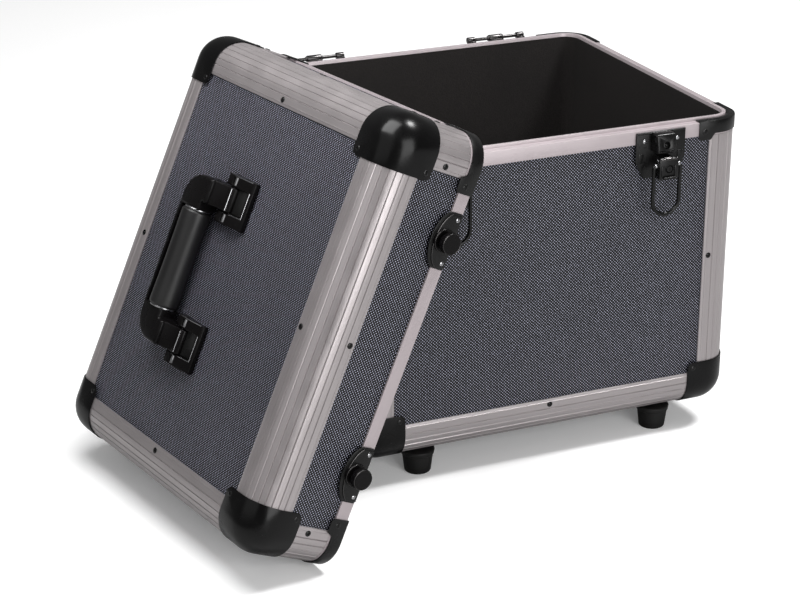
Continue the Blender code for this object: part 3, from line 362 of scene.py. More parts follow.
class Paints:
    """Makes and keeps the materials."""

    def __init__(self) -> None:
        """Build the shared groups."""
        self.streaks = streak_group()
        self.emboss = emboss_group()
        self.coat = coat_group()
        self.nap = nap_group()

    @staticmethod
    def start(name: str) -> tuple[bpy.types.Material, Sheet, bpy.types.Node]:
        """Make a material and return it with its sheet and Principled node.

        Args:
            name: Name of the material.

        Returns:
            The material, its sheet and its Principled node.
        """
        material = bpy.data.materials.new(name)
        material.use_nodes = True
        sheet = Sheet(material.node_tree)
        return material, sheet, material.node_tree.nodes["Principled BSDF"]

    def begin(self, name: str, tree: bpy.types.NodeTree, on_uv: bool,
              **inputs: float) -> tuple[bpy.types.Material, Sheet, bpy.types.Node, Sockets]:
        """Start a material that reads one of the shared groups.

        Args:
            name: Name of the material.
            tree: The group.
            on_uv: Whether the group reads the metric UVs or the object's coordinates.
            inputs: Values of the group's other inputs.

        Returns:
            The material, its sheet, its Principled node and the group's outputs.
        """
        material, sheet, shader = self.start(name)
        if on_uv:
            place = sheet.add("ShaderNodeUVMap", uv_map="metric").outputs[0]
        else:
            place = sheet.add("ShaderNodeTexCoord").outputs["Object"]
        group = sheet.add("ShaderNodeGroup", {**inputs, "Vector": place}, node_tree=tree)
        return material, sheet, shader, group.outputs

    @staticmethod
    def mixed(sheet: Sheet, factor: Value, first: Value, second: Value) -> bpy.types.NodeSocket:
        """Mix two colours by a factor.

        Args:
            sheet: Sheet of the material.
            factor: Share of the second colour.
            first: First colour.
            second: Second colour.

        Returns:
            The mixed colour's socket.
        """
        node = sheet.add("ShaderNodeMix", data_type="RGBA")
        for socket, value in zip((node.inputs[0], node.inputs[6], node.inputs[7]),
                                 (factor, first, second)):
            if isinstance(value, bpy.types.NodeSocket):
                sheet.tree.links.new(value, socket)
            else:
                socket.default_value = (*value, 1.0) if isinstance(value, tuple) else value
        return node.outputs[2]

    @staticmethod
    def dress(sheet: Sheet, shader: bpy.types.Node, finish: Finish, height: Value,
              inputs: dict[str, Value]) -> None:
        """Fill the shader's inputs and put the relief on its normal.

        Args:
            sheet: Sheet of the material.
            shader: The Principled node.
            finish: The finish.
            height: Height of the relief.
            inputs: Values or sockets by input name.
        """
        sheet.fill(shader, inputs)
        relief = {"Strength": finish.bump, "Distance": finish.relief, "Height": height}
        sheet.fill(shader, {"Normal": sheet.add("ShaderNodeBump", relief).outputs[0]})

    def metal(self, name: str, finish: MetalFinish) -> bpy.types.Material:
        """Bare metal with lines along the piece's length.

        Args:
            name: Name of the material.
            finish: The finish.

        Returns:
            The material.
        """
        material, sheet, shader, group = self.begin(name, self.streaks, True)
        tone = sheet.math("MULTIPLY", group["Tone"], finish.streaks)
        smooth, dull = finish.roughness - finish.smudge[0], finish.roughness + finish.smudge[1]
        self.dress(sheet, shader, finish, group["Height"], {
            "Base Color": self.mixed(sheet, tone, finish.base, finish.dark),
            "Roughness": sheet.spread(group["Smudge"], 0, 1, smooth, dull),
            "Metallic": finish.metallic})
        return material

    def black(self, name: str, finish: CoatFinish) -> bpy.types.Material:
        """Black coat or rubber with grain and handling marks.

        Args:
            name: Name of the material.
            finish: The finish.

        Returns:
            The material.
        """
        material, sheet, shader, group = self.begin(name, self.coat, False, Grain=finish.grain)
        smooth, dull = finish.roughness - finish.spread / 2, finish.roughness + finish.spread
        self.dress(sheet, shader, finish, group["Height"], {
            "Base Color": self.mixed(sheet, group["Wear"], finish.base, finish.worn),
            "Roughness": sheet.spread(group["Smudge"], 0, 1, smooth, dull),
            "Metallic": finish.metallic, "Specular IOR Level": finish.specular})
        return material

    def laminate(self, name: str, finish: LaminateFinish) -> bpy.types.Material:
        """Embossed board face, with the raised diamonds painted light as painted highlights.

        Args:
            name: Name of the material.
            finish: The finish.

        Returns:
            The material.
        """
        material, sheet, shader, group = self.begin(name, self.emboss, True, Pitch=finish.pitch)
        # painted highlight: the raised diamonds are mixed towards the light high colour, each cell a little
        # fainter or stronger
        cell = sheet.spread(group["Cell"], 0, 1, finish.faintest, 1.0)
        raised = sheet.math("MULTIPLY", group["Raised"], cell)
        smooth, dull = finish.roughness - finish.smudge[0], finish.roughness + finish.smudge[1]
        self.dress(sheet, shader, finish, group["Height"], {
            "Base Color": self.mixed(sheet, raised, finish.low, finish.high),
            "Roughness": sheet.spread(group["Cloud"], 0.35, 0.65, smooth, dull),
            "Metallic": 0.0, "Specular IOR Level": finish.specular})
        return material

    def cloth(self, name: str, finish: ClothFinish) -> bpy.types.Material:
        """Lining cloth with a short nap.

        Args:
            name: Name of the material.
            finish: The finish.

        Returns:
            The material.
        """
        material, sheet, shader, group = self.begin(name, self.nap, False, Scale=finish.scale)
        patch = sheet.spread(group["Patch"], 0, 1, finish.faintest, 1.0)
        mask = sheet.math("MULTIPLY", group["Fibre"], patch)
        self.dress(sheet, shader, finish, group["Height"], {
            "Base Color": self.mixed(sheet, mask, finish.base, finish.nap),
            "Roughness": finish.roughness, "Sheen Weight": finish.sheen,
            "Sheen Roughness": finish.sheen_roughness, "Specular IOR Level": finish.specular})
        return material


# Mesh tools


def arc(centre: Point2, radius: float, start: float, end: float, steps: int) -> list[Point2]:
    """Points on an arc, both ends included, with angles in degrees.

    Args:
        centre: Middle of the arc.
        radius: Its radius.
        start: First angle.
        end: Last angle.
        steps: Steps along the curve.

    Returns:
        The points.
    """
    points = []
    for step in range(steps + 1):
        angle = math.radians(start + (end - start) * step / steps)
        points.append((centre[0] + radius * math.cos(angle), centre[1] + radius * math.sin(angle)))
    return points


def link(name: str, mesh: bpy.types.Mesh) -> Piece:
    """Make an object for a mesh and link it.

    Args:
        name: Name of the piece.
        mesh: Its mesh.

    Returns:
        The new piece.
    """
    mesh.name = name
    piece = bpy.data.objects.new(name, mesh)
    bpy.context.scene.collection.objects.link(piece)
    return piece


def from_bmesh(name: str, work: bmesh.types.BMesh) -> Piece:
    """Turn a bmesh into a linked object and free it.

    Args:
        name: Name of the new piece.
        work: The bmesh, which is freed.

    Returns:
        The new piece.
    """
    mesh = bpy.data.meshes.new(name)
    work.to_mesh(mesh)
    work.free()
    return link(name, mesh)


def plain(piece: Piece) -> Piece:
    """Apply modifiers, or make a curve a mesh, and weld it.

    Args:
        piece: Piece to change.

    Returns:
        The new piece.
    """
    bpy.context.view_layer.update()
    graph = bpy.context.evaluated_depsgraph_get()
    mesh = bpy.data.meshes.new_from_object(piece.evaluated_get(graph))
    work = bmesh.new()
    work.from_mesh(mesh)
    bmesh.ops.remove_doubles(work, verts=work.verts, dist=LIMITS.weld)
    work.to_mesh(mesh)
    work.free()
    name = piece.name
    bpy.data.objects.remove(piece, do_unlink=True)
    return link(name, mesh)


def moved(piece: Piece, matrix: Matrix) -> Piece:
    """Move a piece's mesh.

    Args:
        piece: Piece to move.
        matrix: The move.

    Returns:
        The same piece.
    """
    piece.data.transform(matrix)
    if matrix.determinant() < 0:
        piece.data.flip_normals()
    return piece


def at(x: float = 0.0, y: float = 0.0, z: float = 0.0) -> Matrix:
    """A translation."""
    return Matrix.Translation((x, y, z))


def prism(name: str, outlines: Sequence[Sequence[Point2]], low: float, high: float) -> Piece:
    """Extrude closed outlines along Z; the later ones are holes.

    Args:
        name: Name of the new piece.
        outlines: Outlines in the XY plane.
        low: Lower end.
        high: Upper end.

    Returns:
        The new piece.
    """
    curve = bpy.data.curves.new(name, "CURVE")
    curve.dimensions = "2D"
    curve.fill_mode = "BOTH"
    curve.extrude = (high - low) / 2
    for outline in outlines:
        spline = curve.splines.new("POLY")
        spline.points.add(len(outline) - 1)
        spline.use_cyclic_u = True
        for point, (x, y) in zip(spline.points, outline):
            point.co = (x, y, 0, 1)
    piece = bpy.data.objects.new(name, curve)
    bpy.context.scene.collection.objects.link(piece)
    piece = moved(plain(piece), at(z=(high + low) / 2))
    work = bmesh.new()
    work.from_mesh(piece.data)
    bmesh.ops.dissolve_limit(work, angle_limit=LIMITS.curve_flat, verts=work.verts, edges=work.edges)
    bmesh.ops.recalc_face_normals(work, faces=work.faces)
    work.to_mesh(piece.data)
    work.free()
    return piece


def box(name: str, low: Point3, high: Point3, round_by: float = 0.0, steps: int = 3) -> Piece:
    """Box between two corners with rounded edges.

    Args:
        name: Name of the new piece.
        low: Its lowest corner.
        high: Its highest corner.
        round_by: Rounding of its edges.
        steps: Steps of the rounding.

    Returns:
        The new piece.
    """
    work = bmesh.new()
    bmesh.ops.create_cube(work, size=1)
    bmesh.ops.scale(work, vec=Vector(high) - Vector(low), verts=work.verts)
    bmesh.ops.translate(work, vec=(Vector(high) + Vector(low)) / 2, verts=work.verts)
    if round_by > 0:
        bmesh.ops.bevel(work, geom=work.edges[:], offset=round_by, segments=steps,
                        affect="EDGES", profile=0.5)
    return from_bmesh(name, work)


def lathe(name: str, profile: Sequence[Point2], steps: int = 32) -> Piece:
    """Turn a profile of (radius, height) points around Z.

    Args:
        name: Name of the new piece.
        profile: Points of (radius, height).
        steps: Steps round the axis.

    Returns:
        The new piece.
    """
    work = bmesh.new()
    points = [work.verts.new((radius, 0, height)) for radius, height in profile]
    edges = [work.edges.new(pair) for pair in zip(points, points[1:])]
    bmesh.ops.spin(work, geom=points + edges, cent=(0, 0, 0), axis=(0, 0, 1),
                   angle=math.tau, steps=steps, use_merge=False)
    bmesh.ops.remove_doubles(work, verts=work.verts, dist=LIMITS.weld)
    bmesh.ops.recalc_face_normals(work, faces=work.faces)
    return from_bmesh(name, work)


def rod(name: str, radius: float, start: Point3, end: Point3, round_by: float = 0.0003,
        steps: int = 24) -> Piece:
    """Turned rod with rounded ends from one point to another.

    Args:
        name: Name of the new piece.
        radius: Its radius.
        start: Where it starts.
        end: Where it ends.
        round_by: Rounding of its ends.
        steps: Steps round the axis.

    Returns:
        The new piece.
    """
    start, end = Vector(start), Vector(end)
    length = (end - start).length
    edge = min(round_by, radius / 2, length / 4)
    profile = [(0, length)] + arc((radius - edge, length - edge), edge, 90, 0, 3)
    profile += arc((radius - edge, edge), edge, 0, -90, 3) + [(0, 0)]
    turn = (end - start).to_track_quat("Z", "Y").to_matrix().to_4x4()
    return moved(lathe(name, profile, steps), Matrix.Translation(start) @ turn)


def tube(name: str, points: Sequence[Point3], radius: float, resolution: int = 4) -> Piece:
    """Round wire along points.

    Args:
        name: Name of the new piece.
        points: Points that it follows.
        radius: Its radius.
        resolution: Roundness of its section.

    Returns:
        The new piece.
    """
    curve = bpy.data.curves.new(name, "CURVE")
    curve.dimensions = "3D"
    curve.bevel_depth = radius
    curve.bevel_resolution = resolution
    curve.use_fill_caps = True
    spline = curve.splines.new("POLY")
    spline.points.add(len(points) - 1)
    for point, place in zip(spline.points, points):
        point.co = (*place, 1)
    piece = bpy.data.objects.new(name, curve)
    bpy.context.scene.collection.objects.link(piece)
    return plain(piece)


def softened(piece: Piece, width: float, segments: int = 2, angle: float = 30.0) -> Piece:
    """Round a piece's sharp edges.

    Args:
        piece: Piece to change.
        width: Width of the rounding.
        segments: Steps of the rounding.
        angle: Least angle in degrees of a sharp edge.

    Returns:
        The new piece.
    """
    work = bmesh.new()
    work.from_mesh(piece.data)
    bmesh.ops.dissolve_limit(work, angle_limit=LIMITS.flat, verts=work.verts, edges=work.edges)
    work.to_mesh(piece.data)
    work.free()
    modifier = piece.modifiers.new("soft_edges", "BEVEL")
    modifier.width = width
    modifier.segments = segments
    modifier.limit_method = "ANGLE"
    modifier.angle_limit = math.radians(angle)
    modifier.use_clamp_overlap = True
    modifier.miter_outer = "MITER_ARC"
    return plain(piece)


def pressed(piece: Piece, wall: float, edge: float) -> Piece:
    """Give a sheet its thickness, inwards, and round its edges.

    Args:
        piece: Piece to change.
        wall: Thickness.
        edge: Rounding of the edges.

    Returns:
        The new piece.
    """
    modifier = piece.modifiers.new("wall", "SOLIDIFY")
    modifier.thickness = wall
    modifier.offset = -1
    modifier.use_even_offset = True
    return softened(plain(piece), edge, 2, 50)


def cut_out(target: Piece, tool: Piece) -> Piece:
    """Cut one mesh out of another and remove it.

    Args:
        target: Mesh that is cut.
        tool: Mesh that cuts.

    Returns:
        The new piece.
    """
    modifier = target.modifiers.new("cut", "BOOLEAN")
    modifier.operation = "DIFFERENCE"
    modifier.solver = "EXACT"
    modifier.object = tool
    result = plain(target)
    bpy.data.objects.remove(tool, do_unlink=True)
    return result


def gathered(name: str, pieces: Sequence[Piece]) -> Piece:
    """Put several meshes into one.

    Args:
        name: Name of the new piece.
        pieces: Meshes to join.

    Returns:
        The new piece.
    """
    work = bmesh.new()
    for piece in pieces:
        work.from_mesh(piece.data)
        bpy.data.objects.remove(piece, do_unlink=True)
    return from_bmesh(name, work)


def copied(piece: Piece, matrix: Matrix, name: str) -> Piece:
    """Copy a mesh and move the copy."""
    return moved(link(name, piece.data.copy()), matrix)


def metric_uv(piece: Piece, along: Callable[[Vector], Point2] | None = None) -> None:
    """Give a mesh UVs in metres, from a rule or from each face's main direction.

    Args:
        piece: Piece to change.
        along: Rule from a place to its UV.
    """
    layer = piece.data.uv_layers.new(name="metric")
    for face in piece.data.polygons:
        axis = max(range(3), key=lambda i: abs(face.normal[i]))
        for index in face.loop_indices:
            place = piece.data.vertices[piece.data.loops[index].vertex_index].co
            if along:
                layer.data[index].uv = along(place)
            elif axis == 0:
                layer.data[index].uv = (place.y, place.z)
            elif axis == 1:
                layer.data[index].uv = (place.x, place.z)
            else:
                layer.data[index].uv = (place.x, place.y)


def rounded_rectangle(offset: float, steps: int = 12) -> list[Point2]:
    """Outline of the case in plan, drawn in by an offset.

    Args:
        offset: How far it is drawn in.
        steps: Steps of each corner's bend.

    Returns:
        Its points.
    """
    half_x, half_y = HALF_X - offset, HALF_Y - offset
    radius = CASE.corner_radius - offset
    points: list[Point2] = []
    for _, sx, sy, quarter in CORNERS:
        start = 180 + 90 * quarter
        points += arc((sx * (half_x - radius), sy * (half_y - radius)), radius, start, start + 90, steps)
    return points


def swept_ring(name: str, section: Sequence[Point2]) -> Piece:
    """Sweep a closed section of (offset, height) points round the case.

    Args:
        name: Name of the new piece.
        section: Points of (offset, height).

    Returns:
        The new piece.
    """
    work = bmesh.new()
    layer = work.loops.layers.uv.new("metric")
    loops = [[work.verts.new((x, y, height)) for x, y in rounded_rectangle(offset)]
             for offset, height in section]
    travel = [0.0]
    outline = rounded_rectangle(0)
    for first, second in zip(outline, outline[1:] + outline[:1]):
        travel.append(travel[-1] + math.dist(first, second))
    across = [0.0]
    for first, second in zip(section, list(section[1:]) + [section[0]]):
        across.append(across[-1] + math.dist(first, second))
    count, rows = len(outline), len(section)
    for row in range(rows):
        below, above = loops[row], loops[(row + 1) % rows]
        for column in range(count):
            following = (column + 1) % count
            face = work.faces.new((below[column], below[following], above[following], above[column]))
            corners = ((travel[column], across[row]), (travel[column + 1], across[row]),
                       (travel[column + 1], across[row + 1]), (travel[column], across[row + 1]))
            for corner, uv in zip(face.loops, corners):
                corner[layer].uv = uv
    bmesh.ops.recalc_face_normals(work, faces=work.faces)
    return from_bmesh(name, work)


def corner_frame(sx: int, sy: int, quarter: int, height: float, flip: bool = False) -> Matrix:
    """Frame at an upright corner, X and Y running inwards."""
    frame = at(sx * HALF_X, sy * HALF_Y, height) @ Matrix.Rotation(quarter * math.pi / 2, 4, "Z")
    return frame @ LID_FLIP if flip else frame


# Workshop


@dataclass
class Workshop:
    """Knows the frames of base and lid and finishes each piece."""

    base: Matrix
    lid: Matrix
    materials: dict[str, bpy.types.Material]

    def frame(self, home: Home) -> Matrix:
        """World matrix of a home frame."""
        return self.base if home is Home.BASE else self.lid

    def deliver(self, piece: Piece, home: Home, body: str, material: str,
                nodes: Iterable[str] = (), smooth: float = 35.0) -> None:
        """Finish a piece: UVs, place, material, smoothing, body and the nodes it stands for.

        Args:
            piece: Mesh in its home frame.
            home: Frame that it was built in.
            body: Body that it rides on.
            material: Key of the material.
            nodes: CAD nodes that it stands for.
            smooth: Largest angle in degrees that is shaded smooth.
        """
        if "metric" not in piece.data.uv_layers:
            metric_uv(piece)
        moved(piece, self.frame(home))
        piece.data.materials.clear()
        piece.data.materials.append(self.materials[material])
        piece.data.shade_smooth()
        piece.data.set_sharp_from_angle(angle=math.radians(smooth))
        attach(piece, body)
        if nodes:
            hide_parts(*nodes)
        LOG.info("%s rides on %s", piece.name, body)


# Boards and linings


@dataclass(frozen=True)
class Boards:
    """The ten laminated boards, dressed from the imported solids."""

    base_sides: tuple[str, ...] = ("floor", "front", "back", "left", "right")
    lid_sides: tuple[str, ...] = ("top", "front", "back", "left", "right")

    @staticmethod
    def node_copy(shop: Workshop, node: str, home: Home, name: str) -> Piece:
        """Copy a CAD node, weld it and bring it to its home frame.

        Args:
            shop: Workshop that knows the home frames.
            node: Name of the CAD node.
            home: Frame that the copy is brought to.
            name: Name of the copy.

        Returns:
            The welded copy, without materials and UVs.
        """
        mesh = FRAME["nodes"][node].data.copy()
        piece = link(name, mesh)
        work = bmesh.new()
        work.from_mesh(mesh)
        bmesh.ops.remove_doubles(work, verts=work.verts, dist=LIMITS.weld)
        bmesh.ops.dissolve_limit(work, angle_limit=LIMITS.flat, verts=work.verts, edges=work.edges)
        work.to_mesh(mesh)
        work.free()
        mesh.materials.clear()
        while mesh.uv_layers:
            mesh.uv_layers.remove(mesh.uv_layers[0])
        return moved(piece, shop.frame(home).inverted())

    def build(self, shop: Workshop) -> None:
        """Make and dress every board.

        Args:
            shop: Workshop that finishes the pieces.
        """
        for home, sides in ((Home.BASE, self.base_sides), (Home.LID, self.lid_sides)):
            body = home.value
            for side in sides:
                node = f"{body}_{side}_panel"
                piece = self.node_copy(shop, node, home, node.replace("_panel", "_board"))
                shop.deliver(piece, home, body, "laminate", [node])


@dataclass(frozen=True)
class Linings:
    """Cloth linings of base and lid, with a soft rolled top edge."""

    wall: float = 0.0015
    roll_height: float = 0.0006
    roll_width: float = 0.0004
    cove: tuple[Point2, ...] = ((0.0, 0.0040), (0.0004, 0.0022), (0.0014, 0.0006), (0.0032, 0.0),
                                (0.0040, 0.0))
    floor_edge: float = 0.0038
    smooth: float = 60.0

    def shell(self, name: str, low: float, high: float) -> Piece:
        """Open lining box.

        Args:
            name: Name of the piece.
            low: Height of its underside.
            high: Height of its top edge.

        Returns:
            The lining with its floor.
        """
        outer = RIMS.width + CASE.gap
        inner = outer + self.wall
        floor = low + (inner - outer)
        section = [(outer, low), (outer, high - self.roll_height), (outer + self.roll_width, high),
                   (inner - self.roll_width, high), (inner, high - self.roll_height)]
        section += [(inner + out, floor + rise) for out, rise in self.cove]
        section += [(inner + self.cove[-1][0], low)]
        walls = swept_ring(name, section)
        plate = prism("floor", [rounded_rectangle(inner + self.floor_edge)], low, floor)
        return gathered(name, [walls, plate])

    def build(self, shop: Workshop) -> None:
        """Line the base and the lid.

        Args:
            shop: Workshop that finishes the pieces.
        """
        base = self.shell("base_cloth", CASE.foot_height + PROFILES.flange_inner + CASE.gap,
                          CASE.rim_plane - CASE.gap)
        shop.deliver(base, Home.BASE, "base", "cloth", ["base_lining"], self.smooth)
        lid = self.shell("lid_cloth", -(CASE.lid_height - PROFILES.flange_inner - CASE.gap), -CASE.gap)
        moved(lid, Matrix.Rotation(math.pi, 4, "X"))
        shop.deliver(lid, Home.LID, "lid", "cloth", ["lid_lining"], self.smooth)


# Profiles


@dataclass(frozen=True)
class Profiles:
    """Sixteen lengths of fluted edge profile."""

    leg: float = 0.034
    wall: float = 0.0018
    web: float = 0.0012
    inner_leg: float = 0.031
    slot_floor: float = 0.0235
    slot: float = 0.0071
    groove_width: float = 0.0011
    groove_depth: float = 0.00055
    grooves: int = 8
    tip_round: float = 0.0004
    land_steps: int = 3
    strip: float = 0.0024
    strip_drop: float = 0.0004
    ridge_width: float = 0.0007
    ridge_height: float = 0.00022
    bend_span: Point2 = (265.0, 185.0)
    bend_steps: int = 8
    bend_ease: float = 0.0002
    smooth: float = 24.0

    @property
    def slot_inner(self) -> float:
        """Depth of the slot's far side."""
        return self.wall + self.slot

    @property
    def flange_inner(self) -> float:
        """Depth of the inner flange's far side."""
        return self.slot_inner + self.web

    def skin(self) -> list[Point2]:
        """Outer face of the section: lands, grooves and the ridge along each leg's edge.

        Returns:
            Points of the outer face.
        """
        radius = CASE.corner_radius
        centre = (radius, radius)
        half = math.degrees(self.groove_width / 2 / radius)
        spacing = 90 / (self.grooves - 1)
        skin: list[Point2] = []
        for index in range(self.grooves):
            angle = 270 - index * spacing
            if index == 0:
                skin.append((radius + self.groove_width / 2, 0))
            skin += arc(centre, radius - self.groove_depth, angle, angle, 1)[:1]
            if index == self.grooves - 1:
                skin.append((0, radius + self.groove_width / 2))
            else:
                skin += arc(centre, radius, angle - half, angle - spacing + half, self.land_steps)
        crest = self.leg - self.strip
        foot = crest - self.ridge_width
        shoulder = self.ridge_width / 4
        ridge = [(self.leg - self.tip_round, self.strip_drop), (crest, 0),
                 (crest - shoulder, -self.ridge_height), (foot + shoulder, -self.ridge_height), (foot, 0)]
        return ridge + skin + [(y, x) for x, y in reversed(ridge)]

    def outlines(self) -> list[list[Point2]]:
        """Whole section: its outline and the outline of its chamber.

        Returns:
            The two outlines.
        """
        radius = CASE.corner_radius
        wall, inner, far = self.wall, self.slot_inner, self.flange_inner
        tip, floor = self.strip_drop + self.tip_round, self.slot_floor
        outer = [*self.skin(), (tip, self.leg), (wall, self.leg), (wall, floor), (inner, floor),
                 (inner, self.inner_leg), (far, self.inner_leg), (far, far), (self.inner_leg, far),
                 (self.inner_leg, inner), (floor, inner), (floor, wall), (self.leg, wall), (self.leg, tip)]
        edge = floor - self.web
        bend = arc((radius, radius), radius - wall, *self.bend_span, self.bend_steps)
        chamber = [(edge, bend[0][1] + self.bend_ease), *bend[1:-1], (bend[-1][0] + self.bend_ease, edge),
                   (inner, edge), (inner, inner), (edge, inner)]
        return [outer, chamber]

    @staticmethod
    def edge_frame(corner: Point3, leg_u: Vector, leg_v: Vector) -> Matrix:
        """Frame whose X and Y run along a profile's legs.

        Args:
            corner: Middle of the edge.
            leg_u: Direction of the first leg.
            leg_v: Direction of the second leg.

        Returns:
            The frame's matrix.
        """
        turn = Matrix((leg_u, leg_v, leg_u.cross(leg_v))).transposed().to_4x4()
        return Matrix.Translation(corner) @ turn

    def jobs(self, home: Home) -> list[tuple[str, Matrix, float]]:
        """Names, frames and lengths of a home's profiles.

        Args:
            home: Base or lid.

        Returns:
            One row for each length of profile.
        """
        run_x = CASE.length - 2 * (self.leg + CASE.gap)
        run_y = CASE.depth - 2 * (self.leg + CASE.gap)
        x, y, z = Vector((1, 0, 0)), Vector((0, 1, 0)), Vector((0, 0, 1))
        places = {"front": (0, -HALF_Y, run_x), "back": (0, HALF_Y, run_x),
                  "left": (-HALF_X, 0, run_y), "right": (HALF_X, 0, run_y)}
        if home is Home.BASE:
            legs = {"front": (y, z), "back": (z, -y), "left": (z, x), "right": (-x, z)}
            height = CASE.foot_height
            low, high = CASE.foot_height + self.leg + CASE.gap, CASE.rim_plane - RIMS.height - CASE.gap
        else:
            legs = {"front": (-z, y), "back": (-y, -z), "left": (x, -z), "right": (-z, -x)}
            height = CASE.lid_height
            low, high = RIMS.height + CASE.gap, CASE.lid_height - self.leg - CASE.gap
        rows = []
        for side, (px, py, run) in places.items():
            frame = self.edge_frame((px, py, height), *legs[side])
            rows.append((f"{home.value}_edge_profile_{side}", frame, run))
        for corner, sx, sy, quarter in CORNERS:
            frame = corner_frame(sx, sy, quarter, (low + high) / 2)
            rows.append((f"{home.value}_corner_profile_{corner}", frame, high - low))
        return rows

    def build(self, shop: Workshop) -> None:
        """Extrude and dress every length.

        Args:
            shop: Workshop that finishes the pieces.
        """
        outlines = self.outlines()
        for home in Home:
            for node, frame, length in self.jobs(home):
                piece = prism(node.replace("profile", "extrusion"), outlines, -length / 2, length / 2)
                metric_uv(piece, lambda place: (place.z, place.x - place.y))
                moved(piece, frame)
                shop.deliver(piece, home, home.value, "aluminium", [node], self.smooth)


# Rims


@dataclass(frozen=True)
class Rims:
    """Rim frames of base and lid."""

    height: float = 0.012
    width: float = 0.0105
    top_wall: float = 0.0045
    inner_wall: float = 0.0016
    lip_height: float = 0.0025
    lip_width: float = 0.0035
    edge: float = 0.0005
    edge_share: float = 0.3
    bead: float = 0.0034
    bead_groove: float = 0.0006
    bead_shares: Point3 = (0.3, 0.8, 1.1)
    bead_depth: float = 0.0004
    smooth: float = 24.0

    def base_section(self) -> list[Point2]:
        """Section of the base rim with its lip and bead.

        Returns:
            Its points.
        """
        edge, ease, deep = self.edge, self.edge * self.edge_share, self.bead_depth
        lip, inner, wall = self.width - self.lip_width, self.width - self.inner_wall, PROFILES.wall
        first, second, third = (self.bead + self.bead_groove * share for share in self.bead_shares)
        return [(0, -self.height), (0, -edge), (ease, -ease), (edge, 0), (self.bead, 0),
                (first, -deep), (second, -deep), (third, 0), (lip, 0), (lip, self.lip_height - edge),
                (lip + ease, self.lip_height - ease), (lip + edge, self.lip_height),
                (self.width - edge, self.lip_height), (self.width - ease, self.lip_height - ease),
                (self.width, self.lip_height - edge), (self.width, -self.height),
                (inner, -self.height), (inner, -self.top_wall), (wall, -self.top_wall),
                (wall, -self.height)]

    def lid_section(self) -> list[Point2]:
        """Section of the lid rim with its rebate.

        Returns:
            Its points.
        """
        edge, ease = self.edge, self.edge * self.edge_share
        inner, wall = self.width - self.inner_wall, PROFILES.wall
        seat = self.width - self.lip_width - CASE.gap
        depth = self.lip_height + CASE.gap
        return [(0, self.height), (0, edge), (ease, ease), (edge, 0), (seat, 0), (seat, depth),
                (self.width, depth), (self.width, self.height), (inner, self.height),
                (inner, self.top_wall), (wall, self.top_wall), (wall, self.height)]

    def build(self, shop: Workshop) -> None:
        """Sweep and dress both rims.

        Args:
            shop: Workshop that finishes the pieces.
        """
        base = moved(swept_ring("base_rim_strip", self.base_section()), at(z=CASE.rim_plane))
        shop.deliver(base, Home.BASE, "base", "bright", ["base_rim"], self.smooth)
        lid = swept_ring("lid_rim_strip", self.lid_section())
        shop.deliver(lid, Home.LID, "lid", "bright", ["lid_rim"], self.smooth)


# Corner hardware


@dataclass(frozen=True)
class BallCorner:
    """Ball corner pressed from sheet."""

    leg: float = 0.044
    gap: float = 0.0003
    wall: float = 0.0008
    tab_round: float = 0.0055
    tab_steps: int = 8
    fold_steps: int = 14
    edge: float = 0.0003
    screw_inset: float = 0.0385

    @property
    def proud(self) -> float:
        """How far its outer face stands out from the case."""
        return self.gap + self.wall

    def shell(self) -> Piece:
        """Ball corner in its own corner frame.

        Returns:
            The new piece.
        """
        side = self.leg + self.proud
        work = bmesh.new()
        bmesh.ops.create_cube(work, size=side)
        bmesh.ops.translate(work, vec=[side / 2 - self.proud] * 3, verts=work.verts)
        far = [face for face in work.faces if face.normal.dot(Vector((1, 1, 1))) > 0]
        bmesh.ops.delete(work, geom=far, context="FACES")
        tabs = [vertex for vertex in work.verts if len(vertex.link_edges) == 2]
        bmesh.ops.bevel(work, geom=tabs, offset=self.tab_round, segments=self.tab_steps,
                        affect="VERTICES", profile=0.5)
        folds = [edge for edge in work.edges if len(edge.link_faces) == 2]
        bmesh.ops.bevel(work, geom=folds, offset=CASE.corner_radius + self.proud,
                        segments=self.fold_steps, affect="EDGES", profile=0.5)
        return pressed(from_bmesh("ball_shell", work), self.wall, self.edge)


